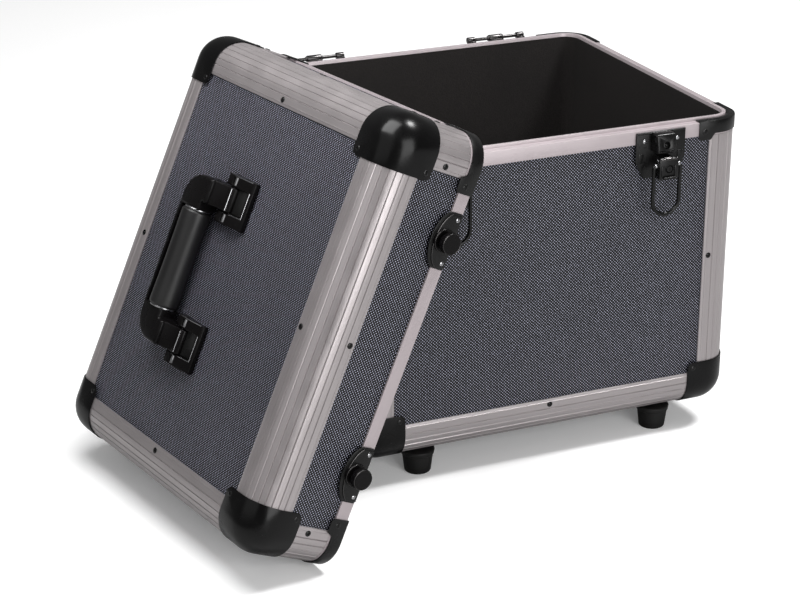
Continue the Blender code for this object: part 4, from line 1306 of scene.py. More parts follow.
@dataclass(frozen=True)
class RimBracket:
    """Rim corner bracket pressed from sheet, with two worn ridges on its top."""

    leg: float = 0.045
    proud: float = 0.0012
    wall: float = 0.0008
    top: float = 0.0011
    flange_reach: float = 0.0065
    flange_lines: Point2 = (0.0035, 0.0028)
    band: float = 0.0105
    tab: float = 0.016
    tab_width: float = 0.011
    tab_ease: float = 0.001
    blend: float = 0.005
    blend_steps: int = 6
    round_end: float = 0.0035
    bend_steps: int = 14
    top_round: float = 0.0006
    top_round_share: float = 0.3
    edge: float = 0.0003
    ridge_offsets: Point2 = (0.0006, 0.0036)
    ridge_radius: float = 0.0005
    ridge_drop: float = 0.0003
    ridge_end: float = 0.0012
    screw_drop: float = 0.0085

    def lower_edge(self, distance: float) -> float:
        """Height of the lower edge.

        Args:
            distance: Distance from the bracket's end.

        Returns:
            The height below the rim plane.
        """
        if distance < self.round_end:
            left = self.round_end ** 2 - (self.round_end - distance) ** 2
            return -self.tab + (self.round_end - math.sqrt(max(0.0, left)))
        if distance < self.tab_width:
            return -self.tab
        share = min(1.0, (distance - self.tab_width) / self.blend)
        return -self.tab + (self.tab - self.band) * (3 * share ** 2 - 2 * share ** 3)

    def path(self) -> list[tuple[Point2, Point2, float]]:
        """Places along the bracket with their inward directions and lower heights.

        Returns:
            Place, inward direction and lower height of each point.
        """
        radius = CASE.corner_radius
        straight = self.leg - radius
        stations = [self.round_end * (1 - math.cos(math.radians(a))) for a in range(0, 91, 15)]
        stations += [self.tab_width - self.tab_ease]
        stations += [self.tab_width + self.blend * k / self.blend_steps for k in range(self.blend_steps + 1)]
        stations = sorted({round(s, 6) for s in stations if s <= straight})
        path = [((self.leg - s, 0.0), (0.0, 1.0), self.lower_edge(s)) for s in stations]
        for x, y in arc((radius, radius), radius, 270, 180, self.bend_steps):
            path.append(((x, y), ((radius - x) / radius, (radius - y) / radius), -self.band))
        path += [((0.0, self.leg - s), (1.0, 0.0), self.lower_edge(s)) for s in reversed(stations)]
        return path

    def shell(self) -> Piece:
        """Bracket in its own corner frame, Z up from the rim plane.

        Returns:
            The new piece.
        """
        radius, top = CASE.corner_radius, self.top
        work = bmesh.new()
        edge, ease = self.top_round, self.top_round * self.top_round_share
        columns = []
        for (x, y), (nx, ny), low in self.path():
            rows = [(self.flange_reach, top), *((line, top) for line in self.flange_lines),
                    (-self.proud + edge, top), (-self.proud + ease, top - ease),
                    (-self.proud, top - edge), (-self.proud, low * 0.5), (-self.proud, low)]
            columns.append([work.verts.new((x + nx * o, y + ny * o, z)) for o, z in rows])
        for first, second in zip(columns, columns[1:]):
            for a, b, c, d in zip(first, second, second[1:], first[1:]):
                work.faces.new((a, b, c, d))
        bmesh.ops.recalc_face_normals(work, faces=work.faces)
        up = [face for face in work.faces if face.calc_center_median().z > top - 1e-5]
        if up and up[0].normal.z < 0:
            bmesh.ops.reverse_faces(work, faces=work.faces)
        shell = pressed(from_bmesh("bracket_shell", work), self.wall, self.edge)
        parts = [shell]
        for offset in self.ridge_offsets:
            line = [(self.leg - self.ridge_end, offset)]
            line += arc((radius, radius), radius - offset, 270, 180, self.bend_steps)
            line += [(offset, self.leg - self.ridge_end)]
            crest = [(x, y, top - self.ridge_drop) for x, y in line]
            parts.append(tube("ridge", crest, self.ridge_radius, 2))
        return gathered("bracket_shell", parts)


@dataclass(frozen=True)
class CornerHardware:
    """Ball corners and rim brackets of base and lid."""

    ball: BallCorner = BallCorner()
    bracket: RimBracket = RimBracket()
    smooth: float = 40.0

    def build(self, shop: Workshop) -> None:
        """Copy one ball corner and one bracket to all their places.

        Args:
            shop: Workshop that finishes the pieces.
        """
        ball, bracket = self.ball.shell(), self.bracket.shell()
        kinds = (
            (ball, Home.BASE, CASE.foot_height, "base_ball_cap", "ball", "base_ball_corner_"),
            (ball, Home.LID, CASE.lid_height, "lid_ball_cap", "ball", "lid_ball_corner_"),
            (bracket, Home.BASE, CASE.rim_plane, "base_rim_corner", "steel", "base_rim_bracket_"),
            (bracket, Home.LID, 0, "lid_rim_corner", "steel", ""),
        )
        for corner, sx, sy, quarter in CORNERS:
            for shell, home, height, name, paint, node in kinds:
                frame = corner_frame(sx, sy, quarter, height, flip=home is Home.LID)
                piece = copied(shell, frame, f"{name}_{corner}")
                shop.deliver(piece, home, home.value, paint,
                             [node + corner if node else "lid_rim"], self.smooth)
        for shell in (ball, bracket):
            bpy.data.objects.remove(shell, do_unlink=True)


@dataclass(frozen=True)
class Feet:
    """Four tapered rubber feet."""

    top_radius: float = 0.0150
    bottom_radius: float = 0.0118
    inset_x: float = 0.0655
    inset_y: float = 0.0225
    top_round: float = 0.0012
    collar_drop: Point2 = (0.0045, 0.0052)
    collar_in: Point2 = (0.0006, 0.0014)
    bottom_round: float = 0.0020
    hollow: tuple[Point2, ...] = ((0.0056, 0.0), (0.0050, 0.0005), (0.0045, 0.0040), (0.0, 0.0040))
    screw_height: float = 0.0040
    steps: int = 48
    smooth: float = 40.0

    def profile(self) -> list[Point2]:
        """Turned profile of a foot.

        Returns:
            Its points.
        """
        top, bottom, height = self.top_radius, self.bottom_radius, CASE.foot_height - CASE.gap
        edge = self.top_round
        points = [(0, height), (top - edge, height), *arc((top - edge, height - edge), edge, 90, 0, 4)]
        points += [(top - inward, height - drop) for inward, drop in zip(self.collar_in, self.collar_drop)]
        points += arc((bottom - self.bottom_round, self.bottom_round), self.bottom_round, 0, -90, 6)
        return points + list(self.hollow)

    def place(self, sx: int, sy: int) -> Point2:
        """Place of a foot in plan."""
        return sx * (HALF_X - self.inset_x), sy * (HALF_Y - self.inset_y)

    def build(self, shop: Workshop) -> None:
        """Turn one foot and copy it to its four places.

        Args:
            shop: Workshop that finishes the pieces.
        """
        foot = lathe("foot", self.profile(), self.steps)
        for corner, sx, sy, _ in CORNERS:
            piece = copied(foot, at(*self.place(sx, sy)), f"rubber_foot_{corner}")
            shop.deliver(piece, Home.BASE, "base", "foot", [f"foot_{corner}"], self.smooth)
        bpy.data.objects.remove(foot, do_unlink=True)


# Hinges


@dataclass(frozen=True)
class Hinges:
    """Both halves of the two lift-off hinges."""

    offset: float = 0.095
    length: float = 0.060
    leaf_height: float = 0.024
    leaf_wall: float = 0.0015
    leaf_drop: float = 0.0035
    leaf_round: float = 0.0006
    axis_out: float = 0.0056
    axis_rise: float = 0.0015
    rod_radius: float = 0.0016
    end_radius: float = 0.0030
    end_length: float = 0.0075
    barrel_radius: float = 0.0033
    barrel_length: float = 0.0142
    strap_wall: float = 0.0015
    strap_round: float = 0.0004
    play: float = 0.0003
    collar_wall: float = 0.0008
    collar_half: float = 0.0005
    hook_width: float = 0.010
    hook_wall: float = 0.0014
    hook_play: float = 0.0004
    hook_drop: float = 0.0025
    hook_edge: float = 0.00025
    hook_strap_round: float = 0.0005
    hook_steps: int = 16
    screw_out: float = 0.022
    screw_drops: Point2 = (0.010, 0.022)

    def base_half(self, centre: float) -> Piece:
        """Lower half with its leaf, knuckles, rod and collars.

        Args:
            centre: Place along the case.

        Returns:
            The half in the base's frame.
        """
        near, play = HALF_Y + CASE.gap, self.play
        out, rise = HALF_Y + self.axis_out, CASE.rim_plane + self.axis_rise
        half, top = self.length / 2, CASE.rim_plane - self.leaf_drop
        end, middle = half - self.end_length, self.barrel_length / 2
        parts = [box("leaf", (-half, near, top - self.leaf_height), (half, near + self.leaf_wall, top),
                     self.leaf_round)]
        for start, stop, radius in ((-half, -end, self.end_radius), (end, half, self.end_radius),
                                    (-middle, middle, self.barrel_radius)):
            parts.append(box("strap", (start + play, near, top - self.strap_wall),
                             (stop - play, out, rise), self.strap_round))
            parts.append(rod("knuckle", radius, (start, out, rise), (stop, out, rise)))
        parts.append(rod("pin", self.rod_radius, (-half + play, out, rise), (half - play, out, rise)))
        for side in (-1, 1):
            ring = side * (middle + self.collar_wall)
            parts.append(rod("collar", self.rod_radius + self.collar_wall,
                             (ring - self.collar_half, out, rise), (ring + self.collar_half, out, rise)))
        return moved(gathered("base_hinge_set", parts), at(x=centre))

    def lid_half(self, centre: float) -> Piece:
        """Upper half with its leaf and two hooks.

        Args:
            centre: Place along the case.

        Returns:
            The half in the lid's frame.
        """
        near = HALF_Y + CASE.gap
        axis_y = HALF_Y + self.axis_out
        axis_z = self.axis_rise - self.hook_drop
        half, low = self.length / 2, self.leaf_drop
        parts = [box("leaf", (-half, near, low), (half, near + self.leaf_wall, low + self.leaf_height),
                     self.leaf_round)]
        inner = self.rod_radius + self.hook_play
        outer = inner + self.hook_wall
        middle = (self.barrel_length / 2 + half - self.end_length) / 2
        leaf_z = axis_z - self.hook_wall / 2
        outline = [(axis_y - outer, leaf_z), (axis_y - outer, axis_z)]
        outline += arc((axis_y, axis_z), outer, 180, 0, self.hook_steps)[1:]
        outline += arc((axis_y, axis_z), inner, 0, 180, self.hook_steps)
        outline += [(axis_y - inner, leaf_z)]
        for side in (-1, 1):
            hook = prism("hook", [outline], -self.hook_width / 2, self.hook_width / 2)
            hook = moved(hook, at(x=side * middle) @ SIDEWAYS)
            parts.append(softened(hook, self.hook_edge, 2, 40))
            start, stop = (side * middle + turn * self.hook_width / 2 - turn * self.play for turn in (-1, 1))
            parts.append(box("strap", (start, near, axis_z + self.rod_radius + self.hook_play + self.play),
                             (stop, axis_y, low + self.leaf_wall), self.hook_strap_round))
        return moved(gathered("lid_hinge_set", parts), at(x=centre))

    def build(self, shop: Workshop) -> None:
        """Make and dress both halves of both hinges.

        Args:
            shop: Workshop that finishes the pieces.
        """
        for name, side in SIDES:
            piece = self.base_half(side * self.offset)
            piece.name = f"base_hinge_set_{name}"
            shop.deliver(piece, Home.BASE, "base", "gunmetal_and_glints", [f"base_hinge_{name}"])
            piece = self.lid_half(side * self.offset)
            piece.name = f"lid_hinge_set_{name}"
            shop.deliver(piece, Home.LID, "lid", "gunmetal_and_glints", ["lid_rim"])


# Latches and strikes


@dataclass(frozen=True)
class Strikes:
    """Strike plates on the lid's front, with knobs and thin bright lines on their edges that are painted
    highlights.
    """

    width: float = 0.047
    wall: float = 0.0015
    seat: float = 0.0015
    shoulder: float = 0.0105
    height: float = 0.0240
    edge: float = 0.0006
    crest_steps: int = 12
    crest_inset: float = 0.0002
    crest_drop: float = 0.0035
    crest_rise: float = 0.0033
    bow: float = 0.86
    raised_shares: Point2 = (0.93, 0.84)
    raised_sink: float = 0.0003
    raised_height: float = 0.0010
    raised_edge: float = 0.0005
    knob_height: float = 0.0115
    flange_radius: float = 0.0098
    flange_wall: float = 0.0025
    flange_round: float = 0.0008
    neck_radius: float = 0.0056
    neck_length: float = 0.0045
    neck_ease: float = 0.0003
    cap_radius: float = 0.0088
    cap_length: float = 0.0052
    cap_flat: float = 0.0042
    cap_dish: float = 0.0002
    cap_round: float = 0.0012
    cap_edge: float = 0.0005
    # the line and ring sizes below are of thin bright lines that are painted highlights on the edges
    line_radius: float = 0.00035
    line_height: float = 0.0008
    ring_radius: float = 0.00022
    ring_insets: Point2 = (0.0006, 0.0005)
    ring_drops: Point2 = (0.0001, 0.0002)
    screw_out: float = 0.0180
    screw_height: float = 0.0052
    screw_proud: float = 0.0006

    @property
    def face(self) -> float:
        """Height of the plate's face over the lid's front."""
        return CASE.gap + self.wall

    def outline(self) -> list[Point2]:
        """Outline of the plate with its bowed crest.

        Returns:
            Its points.
        """
        wide = self.width / 2
        reach = wide - self.crest_inset
        crest = []
        for step in range(self.crest_steps + 1):
            x = reach - reach * (step / self.crest_steps)
            bow = math.sqrt(max(0.0, 1 - ((x / wide) ** 2) * self.bow))
            rise = (self.height - self.shoulder + self.crest_rise) * bow
            crest.append((x, self.shoulder - self.crest_drop + rise))
        outline = [(-wide, self.seat), (wide, self.seat)] + crest
        return outline + [(-x, z) for x, z in reversed(crest[:-1])]

    def knob_profile(self, flange: float, neck: float, cap: float) -> list[Point2]:
        """Turned profile of the knob.

        Args:
            flange: Height of the flange's face.
            neck: Height of the neck's end.
            cap: Height of the cap's face.

        Returns:
            Points from the cap's middle down to the plate.
        """
        ease, edge, turn, base = self.neck_ease, self.cap_edge, self.cap_round, CASE.gap + self.wall / 2
        points = [(0, cap - self.cap_dish), (self.cap_flat, cap)]
        points += arc((self.cap_radius - turn, cap - turn), turn, 90, 0, 5)
        points += [(self.cap_radius, neck + edge), (self.cap_radius - edge, neck),
                   (self.neck_radius + ease, neck), (self.neck_radius, neck - ease),
                   (self.neck_radius, flange + ease)]
        turn = self.flange_round
        points += arc((self.flange_radius - turn, flange - turn), turn, 90, 0, 4)
        return points + [(self.flange_radius, base), (0, base)]

    def ring_glint_line(self, radius: float, height: float) -> Piece:
        """Thin bright ring about the knob's axis, a painted highlight on a rim of the knob.

        Args:
            radius: Radius of the ring.
            height: Height of the ring.

        Returns:
            The ring at the knob's place.
        """
        points = [(x, y, height) for x, y in arc((0, 0), radius, 0, 360, 40)]
        return moved(tube("ring_glint_line", points, self.ring_radius, 2), at(y=self.knob_height))

    def pieces(self) -> tuple[Piece, Piece, Piece]:
        """Plate, knob and the painted highlight lines; origin on the lid's front face at its rim plane.

        Returns:
            The three pieces.
        """
        outline = self.outline()
        plate = softened(prism("strike", [outline], CASE.gap, self.face), self.edge, 3, 40)
        across, up = self.raised_shares
        inner = [(x * across, self.seat + (z - self.seat) * up) for x, z in outline]
        raised = prism("raised", [inner], self.face - self.raised_sink, self.face + self.raised_height)
        raised = softened(raised, self.raised_edge, 3, 40)
        flange = self.face + self.flange_wall
        neck = flange + self.neck_length
        cap = neck + self.cap_length
        knob = lathe("knob", self.knob_profile(flange, neck, cap), 40)
        knob = moved(knob, at(y=self.knob_height))
        # painted highlights: thin grey metal lines along the raised crest and round the knob's rims stand in
        # for their glints
        bow = [(x, z, self.face + self.line_height) for x, z in inner[2:]]
        lines = [tube("bow_glint_line", bow, self.line_radius, 2)]
        for radius, height, inset, drop in zip((self.flange_radius, self.cap_radius), (flange, cap),
                                               self.ring_insets, self.ring_drops):
            lines.append(self.ring_glint_line(radius - inset, height - drop))
        return gathered("strike_plate", [plate, raised]), knob, gathered("strike_glint_lines", lines)

    def build(self, shop: Workshop, name: str, along: float) -> None:
        """Make and dress one strike.

        Args:
            shop: Workshop that finishes the pieces.
            name: Side of the case.
            along: Place along the lid's front.
        """
        place = at(along, -HALF_Y, 0) @ STAND
        plate, knob, lines = (moved(piece, place) for piece in self.pieces())
        plate.name = f"strike_plate_{name}"
        knob.name = f"strike_knob_{name}"
        lines.name = f"strike_glint_lines_{name}"
        # the thin grey metal lines are painted highlights
        shop.deliver(lines, Home.LID, "lid", "gunmetal_and_glints")
        shop.deliver(plate, Home.LID, "lid", "steel", [f"lid_strike_{name}"], 40)
        shop.deliver(knob, Home.LID, "lid", "handle", [f"lid_strike_{name}"], 40)


@dataclass(frozen=True)
class Latches:
    """Latches on the base's front, with their levers, wire bails and strikes."""

    strikes: Strikes = Strikes()
    offset: float = 0.099
    plate_width: float = 0.048
    plate_wall: float = 0.0015
    plate_top: float = 0.0015
    plate_height: float = 0.0415
    plate_round: float = 0.003
    plate_edge: float = 0.0005
    shoulder: float = 0.029
    shoulder_ease: float = 0.002
    foot_width: float = 0.034
    screw_out: float = 0.0159
    screw_drop: float = 0.0094
    mark_half: float = 0.0017
    mark_drops: Point2 = (0.0154, 0.0146)
    housing_width: float = 0.019
    housing_depth: float = 0.0105
    housing_low_depth: float = 0.0140
    housing_drop: float = 0.0185
    housing_round: float = 0.0018
    housing_edge: float = 0.00025
    dimple_radius: float = 0.0032
    dimple_depth: float = 0.002
    dimple_drop: float = 0.0115
    dimple_floor: tuple[Point2, ...] = ((0.0, 0.0009), (0.0010, 0.0008), (0.0016, 0.0002),
                                        (0.0030, 0.0))
    dimple_sink: float = 0.0017
    slot_share: float = 0.78
    slot_depth: float = 0.0012
    slot_drops: Point2 = (0.0166, 0.0155)
    sink: float = 0.0007
    roll_inset: float = 0.001
    roll_drops: Point2 = (0.0016, 0.0001)
    axis_drop: float = 0.0240
    axis_out: float = 0.0140
    ear_reach: float = 0.0069
    ear_wall: float = 0.0028
    ear_radius: float = 0.0024
    strut_span: Point2 = (0.0021, 0.0015)
    flank_start: float = 0.0165
    flank_inset: float = 0.0022
    flank_rise: float = 0.0135
    flank_drop: float = 0.0205
    pin_radius: float = 0.0015
    pin_half: float = 0.0070
    play: float = 0.0003
    lever_width: float = 0.0185
    lever_wall: float = 0.0012
    lever_out: float = 0.0040
    lever_rise: float = 0.0020
    lever_length: float = 0.0158
    cheek_back: float = 0.0034
    rib_span: Point2 = (0.0050, 0.0078)
    rib_drops: Point2 = (0.0132, 0.0040)
    rib_proud: float = 0.0007
    lip_half: float = 0.0060
    lip_proud: float = 0.0022
    lock_radius: float = 0.0038
    lock_drop: float = 0.0070
    lock_face: float = 0.0016
    lock_rim: tuple[Point2, ...] = ((0.0012, 0.0016), (0.0009, 0.0011), (0.0005, 0.0011),
                                    (0.0002, 0.0019), (0.0, 0.0018))
    lock_sink: float = 0.0011
    keyway_half: Point2 = (0.0006, 0.0018)
    knuckle_radius: float = 0.0030
    # rolls along the lever's top, painted in lighter grey metal as a painted highlight:
    top_roll_radius: float = 0.0014
    thin_roll_radius: float = 0.0010
    thin_roll_out: float = 0.0005
    top_roll_back: float = 0.0013
    top_roll_drop: float = 0.0007
    top_roll_inset: float = 0.0008
    head_radius: float = 0.0013
    head_half: float = 0.0004
    bail_drop: float = 0.0045
    bail_wire: float = 0.0018
    bail_half: float = 0.0128
    bail_length: float = 0.0445
    bail_bend: float = 0.0026
    bail_start: float = 0.0008
    # bright metal sleeves on the bail's wire, painted highlights standing in for its glints:
    eye_wall: float = 0.0002
    eye_inset: float = 0.0006
    eye_rise: float = 0.0001

    def deepen(self, part: Piece, back: float, top: float) -> None:
        """Let a part of the housing grow deeper from its top to its lower edge.

        Args:
            part: Part of the housing.
            back: Where the housing meets the plate.
            top: Height of the plate's top.
        """
        grow = self.housing_low_depth / self.housing_depth - 1
        for vertex in part.data.vertices:
            share = (top - vertex.co.z) / (top + self.housing_drop)
            vertex.co.y += (vertex.co.y - back) * share * grow

    def backing(self, back: float, front: float, top: float, low: float) -> Piece:
        """Flat plate behind the housing.

        Args:
            back: Back of the plate.
            front: Front of the plate.
            top: Top of the plate.
            low: Lower end of the plate.

        Returns:
            The plate, upright.
        """
        wide, foot, turn = self.plate_width / 2, self.foot_width / 2, self.plate_round
        outline = [(-wide, top)]
        outline += arc((-wide + turn, -self.shoulder + self.shoulder_ease), turn, 180, 225, 4)
        outline += arc((-foot + turn, low + turn), turn, 225, 270, 4)
        mirrored = [(-x, z) for x, z in reversed(outline)]
        plate = prism("plate", [outline + mirrored], -self.plate_wall / 2, self.plate_wall / 2)
        return moved(softened(plate, self.plate_edge, 3, 40), at(y=(back + front) / 2) @ STAND)

    def housing(self, back: float, front: float, top: float) -> list[Piece]:
        """Housing with its dimple and slot.

        Args:
            back: Back of the plate.
            front: Front of the plate.
            top: Top of the plate.

        Returns:
            The housing and the floor of its dimple.
        """
        half, nose, drop = self.housing_width / 2, back - self.housing_depth, self.dimple_drop
        body = box("housing", (-half, nose, -self.housing_drop),
                   (half, front + self.sink, top - self.play), self.housing_round, 4)
        dimple = rod("dimple", self.dimple_radius, (0, nose - self.dimple_depth, -drop),
                     (0, nose + self.dimple_depth, -drop), 0.0002)
        body = cut_out(body, dimple)
        wide = half * self.slot_share
        slot = box("slot", (-wide, nose - 0.001, -self.slot_drops[0]),
                   (wide, nose + self.slot_depth, -self.slot_drops[1]))
        body = softened(cut_out(body, slot), self.housing_edge, 2, 40)
        floor = lathe("dimple_floor", self.dimple_floor, 24)
        floor = moved(floor, at(y=nose + self.dimple_sink, z=-drop) @ QUARTER)
        for part in (body, floor):
            self.deepen(part, back, top)
        return [body, floor]

    def plate(self) -> Piece:
        """Plate, housing and ears; origin on the front face at the rim plane.

        Returns:
            The new piece.
        """
        back, front = -CASE.gap, -CASE.gap - self.plate_wall
        wide = self.plate_width / 2
        top, low = -self.plate_top, -self.plate_top - self.plate_height
        parts = [self.backing(back, front, top, low), *self.housing(back, front, top)]
        parts.append(box("top_roll", (-wide + self.roll_inset, front - 0.0009, top - self.roll_drops[0]),
                         (wide - self.roll_inset, front + 0.0005, top - self.roll_drops[1]), 0.0006, 3))
        axis = (-self.axis_out, -self.axis_drop)
        below, above = self.strut_span
        for side in (-1, 1):
            near, far = sorted((side * (self.ear_reach - self.ear_wall), side * self.ear_reach))
            parts.append(box("strut", (near, axis[0], axis[1] - below),
                             (far, front + self.sink, axis[1] + above), 0.0004))
            parts.append(rod("ear", self.ear_radius, (near, *axis), (far, *axis)))
            near, far = sorted((side * self.flank_start, side * (wide - self.flank_inset)))
            parts.append(box("flank", (near, front - 0.0006, low + self.flank_rise),
                             (far, front + 0.0005, -self.flank_drop), 0.0005, 3))
            middle = side * self.screw_out
            parts.append(box("mark", (middle - self.mark_half, front - self.play, -self.mark_drops[0]),
                             (middle + self.mark_half, front + self.play, -self.mark_drops[1]), 0.0002, 2))
        return gathered("latch_plate", parts)

    def lock(self) -> Piece:
        """Lock plug with its keyway.

        Returns:
            The new piece.
        """
        out, drop, radius = self.lever_out, self.lock_drop, self.lock_radius
        half, tall = self.keyway_half
        keyway = box("keyway", (-half, -out - 0.003, -drop - tall), (half, -out + 0.0006, -drop + tall))
        profile = [(0, self.lock_face)]
        profile += [(radius - inward, height) for inward, height in self.lock_rim]
        profile += [(radius, 0), (0, 0)]
        plug = moved(lathe("lock", profile, 28), at(y=-out + self.lock_sink, z=-drop) @ QUARTER)
        return cut_out(plug, keyway)

    def lever(self) -> list[Piece]:
        """Lever, its knuckle with the rolls along its top, and its bright pin heads; origin on the pin's
        axis. The rolls share the knuckle's lighter grey metal as a painted highlight.

        Returns:
            The new pieces.
        """
        out, length, rise, play = self.lever_out, self.lever_length, self.lever_rise, self.play
        half, inner = self.lever_width / 2, self.lever_out - self.lever_wall
        parts = [box("front", (-half, -out, -length), (half, -inner, rise), 0.0005, 2), self.lock()]
        for side in (-1, 1):
            near, far = sorted((side * (half - self.lever_wall), side * half))
            parts.append(box("cheek", (near, -out + play, -length + play),
                             (far, self.cheek_back, rise - play), 0.0004, 2))
            near, far = sorted(side * reach for reach in self.rib_span)
            parts.append(box("rib", (near, -out - self.rib_proud, -self.rib_drops[0]),
                             (far, -inner, -self.rib_drops[1]), 0.0004, 2))
        parts.append(box("lip", (-self.lip_half, -out - self.lip_proud, -length + play),
                         (self.lip_half, -inner, -length + self.lip_proud), 0.0006, 3))
        reach, clear = self.ear_reach - self.ear_wall - play, self.ear_reach + play
        # painted highlight: the rolls along the lever's top go with the knuckle in lighter grey metal,
        # standing in for the glint on the black coat
        roll, crest = -out + self.top_roll_back, rise - self.top_roll_drop
        end, thin = half - self.top_roll_inset, roll - self.thin_roll_out
        knuckles = [rod("knuckle", self.knuckle_radius, (-reach, 0, 0), (reach, 0, 0)),
                    rod("roll", self.thin_roll_radius, (-end, thin, crest), (end, thin, crest))]
        for low, high in ((-end, -clear), (-reach, reach), (clear, end)):
            knuckles.append(rod("roll", self.top_roll_radius, (low, roll, crest), (high, roll, crest)))
        heads = [rod("head", self.head_radius, (side * (half - self.head_half), 0, 0),
                     (side * (half + self.head_half), 0, 0), 0.0002) for side in (-1, 1)]
        return [gathered("latch_lever", parts), gathered("knuckles", knuckles), gathered("heads", heads)]

    def bail(self) -> list[Piece]:
        """Wire bail and the bright metal sleeves near its ends, which are painted highlights; origin on the
        axis of its ends.

        Returns:
            The new pieces.
        """
        half, bend = self.bail_half, self.bail_bend
        right = [(self.ear_reach + self.bail_start, 0.0)] + arc((half - bend, -bend), bend, 90, 0, 6)
        bottom = arc((0, half - self.bail_length), half, 0, -180, 28)
        left = [(-x, z) for x, z in reversed(right)]
        wire = tube("bail", [(x, 0, z) for x, z in right + bottom + left], self.bail_wire, 4)
        # painted highlight: short bright metal sleeves on the black wire stand in for its glints
        start, stop = self.lever_width / 2 + self.play, half - self.eye_inset
        glint_sleeves = [rod("eye", self.bail_wire + self.eye_wall, (side * start, 0, self.eye_rise),
                    (side * stop, 0, self.eye_rise), 0.0004) for side in (-1, 1)]
        return [wire, gathered("glint_sleeves", glint_sleeves)]

    def build(self, shop: Workshop) -> None:
        """Make and dress both latches and their strikes.

        Args:
            shop: Workshop that finishes the pieces.
        """
        for name, side in SIDES:
            seat = at(side * self.offset, -HALF_Y, CASE.rim_plane)
            pivot = seat @ at(y=-self.axis_out, z=-self.axis_drop)
            plate = moved(self.plate(), seat)
            plate.name = f"latch_body_{name}"
            shop.deliver(plate, Home.BASE, "base", "steel", [f"latch_plate_{name}"], 40)
            pin = moved(rod("pin", self.pin_radius, (-self.pin_half, 0, 0), (self.pin_half, 0, 0)), pivot)
            pin.name = f"latch_pin_{name}"
            shop.deliver(pin, Home.BASE, "base", "chrome_and_glints")
            body = f"latch_lever_{name}"
            # the knuckle piece, rolls included, is painted in lighter grey metal as a painted highlight
            labels = (("arm", "steel"), ("knuckle", "gunmetal_and_glints"), ("pin_heads", "chrome_and_glints"))
            for piece, (label, paint) in zip(self.lever(), labels):
                moved(piece, pivot).name = f"latch_{label}_{name}"
                shop.deliver(piece, Home.BASE, body, paint, [body], 40)
            body = f"latch_bail_{name}"
            # the bright metal sleeves are painted highlights
            labels = (("wire", "wire"), ("wire_glint_sleeves", "chrome_and_glints"))
            for piece, (label, paint) in zip(self.bail(), labels):
                moved(piece, pivot @ at(z=-self.bail_drop)).name = f"latch_{label}_{name}"
                shop.deliver(piece, Home.BASE, body, paint, [body], 60)
            self.strikes.build(shop, name, side * self.offset)


# Handle


